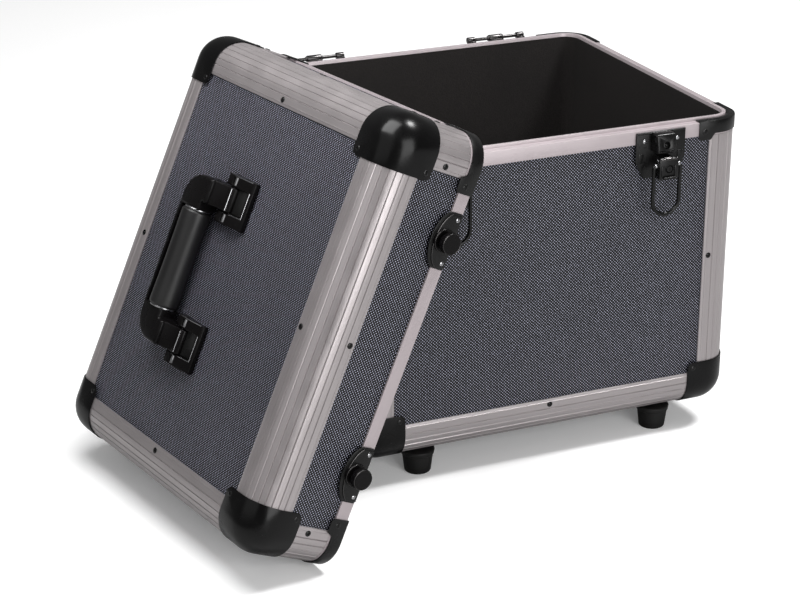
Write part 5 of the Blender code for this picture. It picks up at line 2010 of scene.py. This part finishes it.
@dataclass(frozen=True)
class Handle:
    """Carrying handle with its two brackets on the lid."""

    offset: float = 0.0620
    bracket_width: float = 0.0415
    bracket_back: float = 0.0225
    bracket_front: float = 0.0120
    bracket_height: float = 0.0102
    bracket_tail: float = 0.0060
    bracket_round: float = 0.0018
    bracket_edge: float = 0.0007
    pocket_width: float = 0.0225
    pocket_back: float = 0.0195
    pocket_floor: float = 0.0018
    window_half: float = 0.0030
    window_floor: float = 0.0050
    window_insets: Point2 = (0.0016, 0.0014)
    clear: float = 0.002
    pivot_y: float = 0.0120
    pivot_rise: float = 0.0075
    pin_radius: float = 0.0025
    pin_insets: Point2 = (0.0008, 0.0003)
    ledge_span: Point2 = (0.0140, 0.0053)
    ledge_floor: float = 0.0010
    ledge_drops: Point2 = (0.0040, 0.0004)
    ledge_edge: float = 0.0004
    ledge_play: float = 0.0004
    lip_front: float = 0.0020
    # thin bright metal lines on the brackets' edges and the arms' crests, painted highlights:
    line_radius: float = 0.00035
    line_sink: float = 0.0002
    line_inset: float = 0.0004
    line_ends: Point2 = (0.003, 0.004)
    barrel_radius: float = 0.0049
    barrel_round: float = 0.0006
    arm_width: float = 0.0210
    arm_low: float = -0.0046
    arm_view: tuple[Point2, ...] = ((0.0060, 0.0052), (0.0, 0.0046))
    arm_heights: Point2 = (0.0118, 0.0108)
    arm_ends: Point2 = (0.004, 0.0005)
    arm_edge: float = 0.0008
    elbow_start: float = 0.0140
    elbow_step: float = 0.0218
    elbow_low: float = -0.0049
    elbow_top: float = 0.0145
    elbow_round: float = 0.0220
    elbow_edge: float = 0.0026
    play: float = 0.0003
    reach: float = 0.0505
    strap_wall: float = 0.0035
    strap_edge: float = 0.0009
    grip_length: float = 0.0855
    grip_radius: float = 0.0126
    grip_out: float = 0.0325
    grip_rise: float = 0.0060
    grip_edge: float = 0.0022
    grip_end: float = 0.0004
    grip_waist: float = 0.0004
    grip_inset: float = 0.0030
    grip_steps: int = 12
    core_radius: float = 0.0050
    collar_span: Point2 = (0.0002, 0.0012)
    collar_drop: float = 0.0016
    # the two values below set the painted highlight line along each arm's crest
    crest_inset: float = 0.0012
    glint_line_place: Point2 = (-0.0022, 0.0047)

    @property
    def back(self) -> float:
        """Rear end of a bracket."""
        return self.pivot_y - self.bracket_back

    @property
    def front(self) -> float:
        """Front end of a bracket."""
        return self.pivot_y + self.bracket_front

    @property
    def slope_end(self) -> float:
        """Where the sloping top of a bracket ends."""
        return self.pivot_y - self.barrel_radius

    def crest(self, y: float) -> float:
        """Height of a bracket's sloping top, along which painted highlight lines run.

        Args:
            y: Place along the lid.

        Returns:
            The height, just under the surface.
        """
        tail, high = LID_FACE + self.bracket_tail, LID_FACE + self.bracket_height
        edge = self.bracket_round
        share = (y - self.back - edge) / (self.slope_end - self.back - edge)
        return tail + (high - tail) * min(1.0, share) - self.line_sink

    def bracket_body(self, centre: float) -> Piece:
        """Bracket with its pocket and two windows.

        Args:
            centre: Place of the bracket along the case.

        Returns:
            The body in the lid's frame.
        """
        half, pocket, pivot = self.bracket_width / 2, self.pocket_width / 2, self.pivot_y
        low, high = LID_FACE + CASE.gap, LID_FACE + self.bracket_height
        edge, tail, back, front = self.bracket_round, LID_FACE + self.bracket_tail, self.back, self.front
        view = [(back, low), (front, low), *arc((front - edge, high - edge), edge, 0, 90, 5),
                (self.slope_end, high)]
        view += arc((back + edge, tail - edge), edge, 90, 180, 5)
        body = moved(prism("body", [view], centre - half, centre + half), SIDEWAYS)
        well = box("well", (centre - pocket, pivot - self.pocket_back, LID_FACE + self.pocket_floor),
                   (centre + pocket, front + self.clear, high + self.clear))
        body = cut_out(body, well)
        outer, inner = self.window_insets
        for turn in (-1, 1):
            start, stop = sorted((centre + turn * (half - outer), centre + turn * (pocket + inner)))
            window = box("window", (start, pivot - self.window_half, LID_FACE + self.window_floor),
                         (stop, pivot + self.window_half, high + self.clear))
            body = cut_out(body, window)
        return softened(body, self.bracket_edge, 3, 30)

    def bracket(self, side: int) -> list[Piece]:
        """One bracket.

        Args:
            side: Left (-1) or right (1).

        Returns:
            The bracket's body, its bright pin ends with thin lines that are painted highlights on its edges,
            and the ledge in its pocket.
        """
        centre, half, pocket = side * self.offset, self.bracket_width / 2, self.pocket_width / 2
        pivot, axis_z = self.pivot_y, LID_FACE + self.pivot_rise
        body = self.bracket_body(centre)
        bright = []
        outer, inner = self.pin_insets
        for turn in (-1, 1):
            start, stop = sorted((centre + turn * (half - outer), centre + turn * (pocket + inner)))
            bright.append(rod("pin", self.pin_radius, (start, pivot, axis_z), (stop, pivot, axis_z)))
        (far, near), floor = self.ledge_span, LID_FACE + self.ledge_floor
        view = [(pivot - far, floor), (pivot - near, floor), (pivot - near, axis_z - self.ledge_drops[1]),
                (pivot - far, axis_z - self.ledge_drops[0])]
        wide = pocket - self.ledge_play
        ledge = prism("ledge", [view], centre - wide, centre + wide)
        ledge = softened(moved(ledge, SIDEWAYS), self.ledge_edge, 2, 30)
        # painted highlights: thin bright metal lines along the pocket's lip and the cheek's top edge stand
        # in for the glints on those edges
        rear, near = pivot - self.pocket_back, self.slope_end - self.lip_front
        lip = [(centre + pocket, rear), (centre - pocket, rear), (centre - pocket, near)]
        bright.append(tube("lip", [(x, y, self.crest(y)) for x, y in lip], self.line_radius, 2))
        cheek = centre + half - self.line_inset
        places = (self.back + self.line_ends[0], self.slope_end, self.front - self.line_ends[1])
        bright.append(tube("cheek_glint_line", [(cheek, y, self.crest(y)) for y in places], self.line_radius, 2))
        return [body, gathered("pins", bright), ledge]

    def elbow(self, side: int) -> Piece:
        """One elbow with its arm and barrel.

        Args:
            side: Left (-1) or right (1).

        Returns:
            The elbow in the handle's frame.
        """
        outer, inner = self.offset + self.arm_width / 2, self.offset - self.arm_width / 2
        end, bend, low = self.grip_length / 2 + CASE.gap, self.elbow_round, self.arm_low
        outline = [(inner, self.elbow_start), (outer, self.elbow_start)]
        outline += arc((outer - bend, self.reach - bend), bend, 0, 90, 12)
        outline += [(end, self.reach), (end, self.elbow_step), (inner, self.elbow_step)]
        block = softened(prism("block", [outline], self.elbow_low, self.elbow_top), self.elbow_edge, 4, 30)
        far, near = (self.elbow_start + ease for ease in self.arm_ends)
        view = [(0.0, low), (far, low), (far, self.arm_heights[0]), (near, self.arm_heights[1]),
                *self.arm_view]
        arm = prism("arm", [view], -self.arm_width / 2 + self.play, self.arm_width / 2 - self.play)
        arm = softened(moved(arm, at(x=self.offset) @ SIDEWAYS), self.arm_edge, 3, 30)
        barrel = rod("barrel", self.barrel_radius, (inner + 0.0002, 0, 0), (outer - 0.0002, 0, 0),
                     self.barrel_round, 36)
        piece = gathered("elbow", [block, arm, barrel])
        return moved(piece, Matrix.Scale(-1, 4, Vector((1, 0, 0)))) if side < 0 else piece

    def collars(self) -> Piece:
        """Bright collars beside the grip, and thin bright metal lines on the arms' crests that are painted
        highlights.

        Returns:
            The new piece.
        """
        end, place = self.grip_length / 2, (self.grip_out, self.grip_rise)
        parts = []
        for side in (-1, 1):
            start, stop = side * (end - self.collar_span[0]), side * (end + self.collar_span[1])
            parts.append(rod("collar", self.grip_radius - self.collar_drop, (start, *place),
                             (stop, *place), 0.0004, 40))
            # painted highlight: a thin bright metal line along each arm's crest at the pivot stands in for
            # its glint
            near, far = (side * (self.offset + turn * (self.arm_width / 2 - self.crest_inset))
                         for turn in (-1, 1))
            parts.append(tube("crest", [(near, *self.glint_line_place), (far, *self.glint_line_place)],
                              self.line_radius, 2))
        return gathered("handle_collars_and_glint_lines", parts)

    def grip_profile(self) -> list[Point2]:
        """Turned profile of the grip, slightly waisted.

        Returns:
            Its points.
        """
        radius, edge, end = self.grip_radius, self.grip_edge, self.grip_length / 2
        bore = self.core_radius + self.play
        profile = [(bore, end)]
        profile += arc((radius - edge, end - edge - self.grip_end), edge, 90, 0, 8)
        for step in range(1, self.grip_steps):
            share = step / self.grip_steps
            waist = self.grip_waist * math.sin(math.pi * share)
            profile.append((radius - waist, (end - self.grip_inset) * (1 - 2 * share)))
        profile += arc((radius - edge, -end + edge + self.grip_end), edge, 0, -90, 8)
        return profile + [(bore, -end)]

    def build(self, shop: Workshop) -> None:
        """Make and dress the brackets, the frame, the collars and the grip.

        Args:
            shop: Workshop that finishes the pieces.
        """
        for name, side in SIDES:
            body, pins, ledge = self.bracket(side)
            body.name = f"handle_mount_{name}"
            pins.name = f"handle_pins_and_glint_lines_{name}"
            ledge.name = f"handle_ledge_{name}"
            shop.deliver(ledge, Home.LID, "lid", "steel")
            shop.deliver(body, Home.LID, "lid", "handle", [f"handle_bracket_{name}"], 40)
            # the pin ends are bright metal; the lines with them are painted highlights
            shop.deliver(pins, Home.LID, "lid", "chrome_and_glints")
        axis = at(y=self.pivot_y, z=LID_FACE + self.pivot_rise)
        end, place = self.grip_length / 2, (self.grip_out, self.grip_rise)
        wide = end + self.strap_wall
        strap = box("strap", (-wide, self.reach - self.strap_wall, self.arm_low),
                    (wide, self.reach - self.play, self.elbow_top - self.play), self.strap_edge, 3)
        frame = moved(gathered("handle_bow", [self.elbow(-1), self.elbow(1), strap]), axis)
        shop.deliver(frame, Home.LID, "handle", "handle", ["handle_frame"], 40)
        wide = end + self.grip_inset
        core = rod("handle_core", self.core_radius, (-wide, *place), (wide, *place))
        shop.deliver(moved(core, axis), Home.LID, "handle", "handle", ["handle_frame"])
        collars = moved(self.collars(), axis)
        # the collars are bright metal; the crest lines with them are painted highlights
        shop.deliver(collars, Home.LID, "handle", "chrome_and_glints", ["handle_frame"])
        grip = lathe("handle_rubber", self.grip_profile(), 56)
        grip = moved(grip, Matrix.Rotation(math.pi / 2, 4, "Y"))
        grip = moved(grip, axis @ at(y=self.grip_out, z=self.grip_rise))
        shop.deliver(grip, Home.LID, "handle", "grip", ["handle_grip"], 50)


# Fasteners


@dataclass(frozen=True)
class HeadSizes:
    """Sizes of one kind of screw or rivet head."""

    radius: float
    height: float
    recess: float


@dataclass(frozen=True)
class FastenerSet:
    """A set of equal heads: places and outward directions in a home frame."""

    name: str
    home: Home
    head: HeadSizes
    places: Places
    paint: str = "screw"


@dataclass(frozen=True)
class Fasteners:
    """Screws and rivets of base and lid, set by one Geometry Nodes tree."""

    corner: HeadSizes = HeadSizes(0.0023, 0.0007, 0.0024)
    bracket: HeadSizes = HeadSizes(0.0026, 0.0006, 0.0026)
    profile: HeadSizes = HeadSizes(0.0026, 0.0010, 0.0028)
    foot: HeadSizes = HeadSizes(0.0036, 0.0016, 0.0036)
    small: HeadSizes = HeadSizes(0.0020, 0.0010, 0.0022)
    hinge: HeadSizes = HeadSizes(0.0024, 0.0010, 0.0024)
    land_rise: float = 0.0055
    seed_radius: float = 0.0002
    recess_share: float = 0.22
    recess_depth: float = 1.1
    smooth: float = 40.0

    def tree(self) -> bpy.types.NodeTree:
        """Geometry Nodes tree that sets a cross-recessed head on every face of a mesh.

        Returns:
            The tree.
        """
        tree = bpy.data.node_groups.new("fastener_heads", "GeometryNodeTree")
        for label, kind, way in (("Geometry", "NodeSocketGeometry", "INPUT"),
                                 ("Radius", "NodeSocketFloat", "INPUT"),
                                 ("Height", "NodeSocketFloat", "INPUT"),
                                 ("Recess", "NodeSocketFloat", "INPUT"),
                                 ("Material", "NodeSocketMaterial", "INPUT"),
                                 ("Geometry", "NodeSocketGeometry", "OUTPUT")):
            tree.interface.new_socket(label, in_out=way, socket_type=kind)
        sheet = Sheet(tree)
        source, sink = sheet.add("NodeGroupInput"), sheet.add("NodeGroupOutput")
        capture = sheet.add("GeometryNodeCaptureAttribute", domain="FACE")
        capture.capture_items.new("VECTOR", "Normal")
        normal = sheet.add("GeometryNodeInputNormal")
        tree.links.new(source.outputs["Geometry"], capture.inputs["Geometry"])
        tree.links.new(normal.outputs[0], capture.inputs[1])
        points = sheet.add("GeometryNodeMeshToPoints", {"Mesh": capture.outputs["Geometry"]}, mode="FACES")
        aligned = sheet.add("FunctionNodeAlignRotationToVector", {"Vector": capture.outputs[1]}, axis="Z")
        turn = sheet.add("FunctionNodeRandomValue", {2: 0.0, 3: 3.0, "Seed": 5}, data_type="FLOAT")
        spin = sheet.add("ShaderNodeCombineXYZ", {2: turn.outputs[1]})
        rotated = sheet.add("FunctionNodeRotateRotation",
                            {0: aligned.outputs[0], 1: spin.outputs[0]}, rotation_space="LOCAL")
        placed = sheet.add("GeometryNodeInstanceOnPoints",
                           {"Points": points.outputs[0], "Instance": self.head_node(sheet, source),
                            "Rotation": rotated.outputs[0]})
        real = sheet.add("GeometryNodeRealizeInstances", {"Geometry": placed.outputs[0]})
        painted = sheet.add("GeometryNodeSetMaterial", {"Geometry": real.outputs[0],
                                                        "Material": source.outputs["Material"]})
        tree.links.new(painted.outputs[0], sink.inputs["Geometry"])
        return tree

    def head_node(self, sheet: Sheet, source: bpy.types.Node) -> bpy.types.NodeSocket:
        """Nodes of one domed head with its cross recess.

        Args:
            sheet: Sheet of the tree.
            source: The tree's input node.

        Returns:
            The smooth head's geometry socket.
        """
        radius, height, recess = (source.outputs[k] for k in ("Radius", "Height", "Recess"))
        ball = sheet.add("GeometryNodeMeshUVSphere", {"Segments": 24, "Rings": 12, "Radius": 1.0})
        size = sheet.add("ShaderNodeCombineXYZ", {0: radius, 1: radius, 2: height})
        dome = sheet.add("GeometryNodeTransform", {"Geometry": ball.outputs[0], "Scale": size.outputs[0]})
        arms = []
        for long_side in (0, 1):
            thin = sheet.math("MULTIPLY", recess, self.recess_share)
            deep = sheet.math("MULTIPLY", height, self.recess_depth)
            span = sheet.add("ShaderNodeCombineXYZ", {long_side: recess, 1 - long_side: thin, 2: deep})
            bar = sheet.add("GeometryNodeMeshCube", {"Size": span.outputs[0]})
            lift = sheet.add("ShaderNodeCombineXYZ", {2: height})
            arms.append(sheet.add("GeometryNodeTransform",
                                  {"Geometry": bar.outputs[0], "Translation": lift.outputs[0]}))
        cut = sheet.add("GeometryNodeMeshBoolean", operation="DIFFERENCE", solver="EXACT")
        sheet.tree.links.new(dome.outputs[0], cut.inputs[0])
        for arm in arms:
            sheet.tree.links.new(arm.outputs[0], cut.inputs[1])
        smooth = sheet.add("GeometryNodeSetShadeSmooth", {"Geometry": cut.outputs[0], "Shade Smooth": True})
        return smooth.outputs[0]

    def fasten(self, shop: Workshop, tree: bpy.types.NodeTree, batch: FastenerSet) -> None:
        """Make one set of heads.

        Args:
            shop: Workshop that finishes the piece.
            tree: Geometry Nodes tree of the heads.
            batch: The set to make.
        """
        work = bmesh.new()
        for place, outward in batch.places:
            turn = Vector(outward).normalized().to_track_quat("Z", "Y").to_matrix()
            corners = []
            for angle in (0, math.tau / 3, 2 * math.tau / 3):
                spoke = Vector((self.seed_radius * math.cos(angle), self.seed_radius * math.sin(angle), 0))
                corners.append(work.verts.new(Vector(place) + turn @ spoke))
            work.faces.new(corners)
        seeds = from_bmesh(batch.name, work)
        modifier = seeds.modifiers.new("heads", "NODES")
        modifier.node_group = tree
        values = {"Radius": batch.head.radius, "Height": batch.head.height,
                  "Recess": batch.head.recess, "Material": shop.materials[batch.paint]}
        for item in tree.interface.items_tree:
            if item.in_out == "INPUT" and item.name in values:
                modifier[item.identifier] = values[item.name]
        shop.deliver(plain(seeds), batch.home, batch.home.value, batch.paint, (), self.smooth)

    @staticmethod
    def corner_places(height: float, direction: int) -> Places:
        """Screws in the tabs of four ball corners.

        Args:
            height: Height of the corners.
            direction: Up (1) or down (-1) from there.

        Returns:
            Places and outward directions.
        """
        ball = CORNER_HARDWARE.ball
        inset, proud = ball.screw_inset, ball.proud
        places: Places = []
        for _, sx, sy, _ in CORNERS:
            x, y = sx * (HALF_X - inset), sy * (HALF_Y - inset)
            z = height + direction * inset
            places.append(((x, sy * (HALF_Y + proud), z), (0, sy, 0)))
            places.append(((sx * (HALF_X + proud), y, z), (sx, 0, 0)))
            places.append(((x, y, height - direction * proud), (0, 0, -direction)))
        return places

    @staticmethod
    def bracket_places(height: float, direction: int) -> Places:
        """Screws in the tabs of four rim brackets.

        Args:
            height: Height of the rim plane.
            direction: Up (1) or down (-1) from there.

        Returns:
            Places and outward directions.
        """
        bracket = CORNER_HARDWARE.bracket
        along = bracket.leg - bracket.tab_width / 2
        z = height + direction * bracket.screw_drop
        places: Places = []
        for _, sx, sy, _ in CORNERS:
            places.append(((sx * (HALF_X - along), sy * (HALF_Y + bracket.proud), z), (0, sy, 0)))
            places.append(((sx * (HALF_X + bracket.proud), sy * (HALF_Y - along), z), (sx, 0, 0)))
        return places

    def profile_places(self, height: float, direction: int, upright: float) -> Places:
        """Screws at the middle of each profile, one on each land.

        Args:
            height: Height of the edge profiles.
            direction: Up (1) or down (-1) from there.
            upright: Middle height of the upright profiles.

        Returns:
            Places and outward directions.
        """
        land = PROFILES.slot_floor + self.land_rise
        places: Places = []
        for sign in (-1, 1):
            places.append(((0, sign * HALF_Y, height + direction * land), (0, sign, 0)))
            places.append(((0, sign * (HALF_Y - land), height), (0, 0, -direction)))
            places.append(((sign * HALF_X, 0, height + direction * land), (sign, 0, 0)))
            places.append(((sign * (HALF_X - land), 0, height), (0, 0, -direction)))
        for _, sx, sy, _ in CORNERS:
            places.append(((sx * (HALF_X - land), sy * HALF_Y, upright), (0, sy, 0)))
            places.append(((sx * HALF_X, sy * (HALF_Y - land), upright), (sx, 0, 0)))
        return places

    @staticmethod
    def paired_places(offset: float, out: float, face: float, heights: Iterable[float]) -> Places:
        """Screws at both sides of the two fittings on a wall.

        Args:
            offset: Distance of a fitting from the middle.
            out: Distance of its screws from its own middle.
            face: Where the fitting's face lies across the case.
            heights: Heights of the screws.

        Returns:
            Places and outward directions.
        """
        outward = (0, 1 if face > 0 else -1, 0)
        return [((side * offset + edge * out, face, height), outward)
                for _, side in SIDES for edge in (-1, 1) for height in heights]

    def batches(self) -> list[FastenerSet]:
        """Every set of heads in the order they are made.

        Returns:
            The sets.
        """
        rim, foot, lid = CASE.rim_plane, CASE.foot_height, CASE.lid_height
        middle = (foot + PROFILES.leg + rim - RIMS.height) / 2
        lid_middle = (RIMS.height + lid - PROFILES.leg) / 2
        feet: Places = [((*FEET.place(sx, sy), FEET.screw_height), (0, 0, -1)) for _, sx, sy, _ in CORNERS]
        latch_front = -HALF_Y - CASE.gap - LATCHES.plate_wall
        latch = self.paired_places(LATCHES.offset, LATCHES.screw_out, latch_front,
                                   (rim - LATCHES.screw_drop,))
        strikes = LATCHES.strikes
        strike_front = -HALF_Y - CASE.gap - strikes.wall - strikes.screw_proud
        strike = self.paired_places(LATCHES.offset, strikes.screw_out, strike_front,
                                    (strikes.screw_height,))
        leaf = HALF_Y + CASE.gap + HINGES.leaf_wall
        base_hinges, lid_hinges = (
            self.paired_places(HINGES.offset, HINGES.screw_out, leaf, heights)
            for heights in ([rim - drop for drop in HINGES.screw_drops], HINGES.screw_drops))
        return [
            FastenerSet("base_corner_screws", Home.BASE, self.corner, self.corner_places(foot, 1)),
            FastenerSet("lid_corner_screws", Home.LID, self.corner, self.corner_places(lid, -1)),
            FastenerSet("base_bracket_screws", Home.BASE, self.bracket, self.bracket_places(rim, -1)),
            FastenerSet("lid_bracket_screws", Home.LID, self.bracket, self.bracket_places(0, 1)),
            FastenerSet("base_profile_screws", Home.BASE, self.profile,
                        self.profile_places(foot, 1, middle)),
            FastenerSet("lid_profile_screws", Home.LID, self.profile,
                        self.profile_places(lid, -1, lid_middle)),
            FastenerSet("foot_screws", Home.BASE, self.foot, feet),
            FastenerSet("latch_screws", Home.BASE, self.small, latch, "chrome_and_glints"),
            FastenerSet("strike_screws", Home.LID, self.small, strike, "chrome_and_glints"),
            FastenerSet("base_hinge_screws", Home.BASE, self.hinge, base_hinges),
            FastenerSet("lid_hinge_screws", Home.LID, self.hinge, lid_hinges),
        ]

    def build(self, shop: Workshop) -> None:
        """Make and dress every set.

        Args:
            shop: Workshop that finishes the pieces.
        """
        tree = self.tree()
        for batch in self.batches():
            self.fasten(shop, tree, batch)


# Studio


@dataclass(frozen=True)
class Lamp:
    """One studio lamp, placed by its direction from the case."""

    name: str
    direction: Point3
    distance: float
    size: float
    power: float
    shape: str

    def add(self, target: Vector) -> None:
        """Make the lamp and aim it at a point.

        Args:
            target: Point that it is aimed at.
        """
        data = bpy.data.lights.new(self.name, "AREA")
        data.shape = self.shape
        data.size = self.size
        data.energy = self.power
        light = bpy.data.objects.new(self.name, data)
        bpy.context.scene.collection.objects.link(light)
        direction = Vector(self.direction).normalized()
        light.location = target + direction * self.distance
        light.rotation_euler = direction.to_track_quat("Z", "Y").to_euler()


@dataclass(frozen=True)
class Studio:
    """Camera, white floor, surroundings and soft lamps."""

    camera: Point3 = (-0.8059, -1.6946, 0.8493)
    azimuth: float = 23.3015
    pitch: float = 21.998
    focal_pixels: float = 2166.0
    image_width: float = 800.0
    sensor: float = 36.0
    floor_size: float = 12.0
    floor_seen: float = 0.98
    floor_bounce: float = 0.50
    floor_glow: float = 0.13
    floor_cloud: Point2 = (0.985, 1.0)
    floor_roughness: float = 0.8
    floor_specular: float = 0.1
    world: float = 0.18
    aim_height: float = 0.17
    lamps: tuple[Lamp, ...] = (
        Lamp("key", (0.471, -0.077, 0.879), 4.0, 1.12, 160.0, "DISK"),
        Lamp("top_softbox", (-0.486, -0.197, 0.851), 0.805, 0.45, 6.3, "SQUARE"),
        Lamp("left_softbox", (-0.80, -0.37, 0.47), 1.5, 1.1, 2.4, "SQUARE"),
        Lamp("front_softbox", (0.05, -0.97, 0.24), 2.0, 1.2, 22.0, "SQUARE"),
    )

    def set_camera(self, shop: Workshop) -> None:
        """Set the camera at the photograph's viewing angle, measured from the base's middle.

        Args:
            shop: Workshop that finishes the pieces.
        """
        data = bpy.data.cameras.new("camera")
        data.sensor_width = self.sensor
        data.lens = self.focal_pixels / self.image_width * self.sensor
        camera = bpy.data.objects.new("camera", data)
        bpy.context.scene.collection.objects.link(camera)
        turn, down = math.radians(self.azimuth), math.radians(self.pitch)
        level = math.cos(down)
        forward = Vector((math.sin(turn) * level, math.cos(turn) * level, -math.sin(down)))
        camera.location = shop.base.translation + Vector(self.camera)
        camera.rotation_euler = forward.to_track_quat("-Z", "Y").to_euler()
        bpy.context.scene.camera = camera

    def floor(self) -> Piece:
        """Plain pale floor that looks white to the camera and keeps its shadows.

        Returns:
            The new piece.
        """
        work = bmesh.new()
        bmesh.ops.create_grid(work, x_segments=1, y_segments=1, size=self.floor_size)
        floor = from_bmesh("studio_floor", work)
        material, sheet, shader = Paints.start("studio_floor")
        place = sheet.add("ShaderNodeTexCoord")
        seen = sheet.add("ShaderNodeLightPath").outputs["Is Camera Ray"]
        noise = sheet.noise(place.outputs["Object"], 2.0, 3.0)
        cloud = sheet.spread(noise, 0.3, 0.7, *self.floor_cloud)
        tone = sheet.spread(seen, 0, 1, self.floor_bounce, self.floor_seen)
        links = sheet.tree.links
        links.new(sheet.math("MULTIPLY", tone, cloud), shader.inputs["Base Color"])
        links.new(sheet.math("MULTIPLY", seen, self.floor_glow), shader.inputs["Emission Strength"])
        shader.inputs["Emission Color"].default_value = (1, 1, 1, 1)
        shader.inputs["Roughness"].default_value = self.floor_roughness
        shader.inputs["Specular IOR Level"].default_value = self.floor_specular
        floor.data.materials.append(material)
        return floor

    def build(self, shop: Workshop) -> None:
        """Set the camera, lay the floor and light the case.

        Args:
            shop: Workshop that finishes the pieces.
        """
        self.set_camera(shop)
        self.floor()
        bpy.context.scene.view_settings.view_transform = "Standard"
        world = bpy.data.worlds.new("studio")
        bpy.context.scene.world = world
        world.use_nodes = True
        sheet = Sheet(world.node_tree)
        back = world.node_tree.nodes["Background"]
        seen = sheet.add("ShaderNodeLightPath").outputs["Is Camera Ray"]
        world.node_tree.links.new(sheet.spread(seen, 0, 1, self.world, 1.0), back.inputs["Strength"])
        back.inputs["Color"].default_value = (1, 1, 1, 1)
        target = shop.base.translation + Vector((0, 0, self.aim_height))
        for lamp in self.lamps:
            lamp.add(target)


# Assembly


BOARDS = Boards()
LININGS = Linings()
PROFILES = Profiles()
RIMS = Rims()
CORNER_HARDWARE = CornerHardware()
FEET = Feet()
HINGES = Hinges()
LATCHES = Latches()
HANDLE = Handle()
FASTENERS = Fasteners()
STUDIO = Studio()
LID_FACE = CASE.lid_height - PROFILES.wall - CASE.gap

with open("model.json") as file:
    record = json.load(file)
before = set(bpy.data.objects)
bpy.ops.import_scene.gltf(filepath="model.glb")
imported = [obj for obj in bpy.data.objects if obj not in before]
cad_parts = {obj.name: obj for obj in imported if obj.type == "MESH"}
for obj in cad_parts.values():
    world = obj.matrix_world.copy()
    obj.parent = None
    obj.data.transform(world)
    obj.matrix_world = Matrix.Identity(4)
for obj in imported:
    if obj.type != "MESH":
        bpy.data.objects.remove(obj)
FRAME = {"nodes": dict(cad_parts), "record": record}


def home_frames() -> tuple[Matrix, Matrix]:
    """World matrices of the base and lid frames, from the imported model.

    Returns:
        The base's matrix and the lid's.
    """
    low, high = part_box("base_rim")
    base = at((low.x + high.x) / 2, (low.y + high.y) / 2, 0)
    joint = next(j for j in FRAME["record"]["behaviour"]["joints"] if j["name"] == "handle_swing")
    along = Vector(joint["axis"]).normalized()
    yaw = math.atan2(along.y, along.x)
    tilt = math.asin(along.z)
    turn = Matrix.Rotation(yaw, 4, "Z") @ Matrix.Rotation(-tilt, 4, "Y")
    pivot = Vector((0, HANDLE.pivot_y, LID_FACE + HANDLE.pivot_rise))
    lid = Matrix.Translation(Vector(joint["pos_m"]) - turn @ pivot) @ turn
    return base, lid


def make_materials(paints: Paints) -> dict[str, bpy.types.Material]:
    """Every material by its key.

    Args:
        paints: Maker of the materials.

    Returns:
        Materials by key.
    """
    return {
        "aluminium": paints.metal("fluted_aluminium", ALUMINIUM),
        "bright": paints.metal("bright_aluminium_strip", BRIGHT),
        # the bright pin metal and the grey metal are real metals here, and also paint thin lines and sleeves
        # that are painted highlights
        "chrome_and_glints": paints.metal("bright_pin_steel_and_glints", CHROME),
        "gunmetal_and_glints": paints.metal("gunmetal_steel_and_glints", GUNMETAL),
        "ball": paints.black("ball_corner_coat", BALL_BLACK),
        "steel": paints.black("black_steel_coat", STEEL_BLACK),
        "wire": paints.black("black_wire", WIRE_BLACK),
        "handle": paints.black("handle_moulding", HANDLE_BLACK),
        "grip": paints.black("grip_rubber", GRIP_RUBBER),
        "foot": paints.black("foot_rubber", FOOT_RUBBER),
        "screw": paints.black("black_screw", SCREW_BLACK),
        "laminate": paints.laminate("diamond_laminate_painted_highlights", LAMINATE),
        "cloth": paints.cloth("lining_cloth", LINING),
    }


def main() -> None:
    """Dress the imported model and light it."""
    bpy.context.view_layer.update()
    base, lid = home_frames()
    shop = Workshop(base, lid, make_materials(Paints()))
    for assembly in (BOARDS, LININGS, PROFILES, RIMS, CORNER_HARDWARE, FEET, HINGES, LATCHES,
                     HANDLE, FASTENERS, STUDIO):
        assembly.build(shop)
        LOG.info("Built %s", type(assembly).__name__)


if __name__ == "__main__":
    logging.basicConfig(level=logging.INFO)
    main()
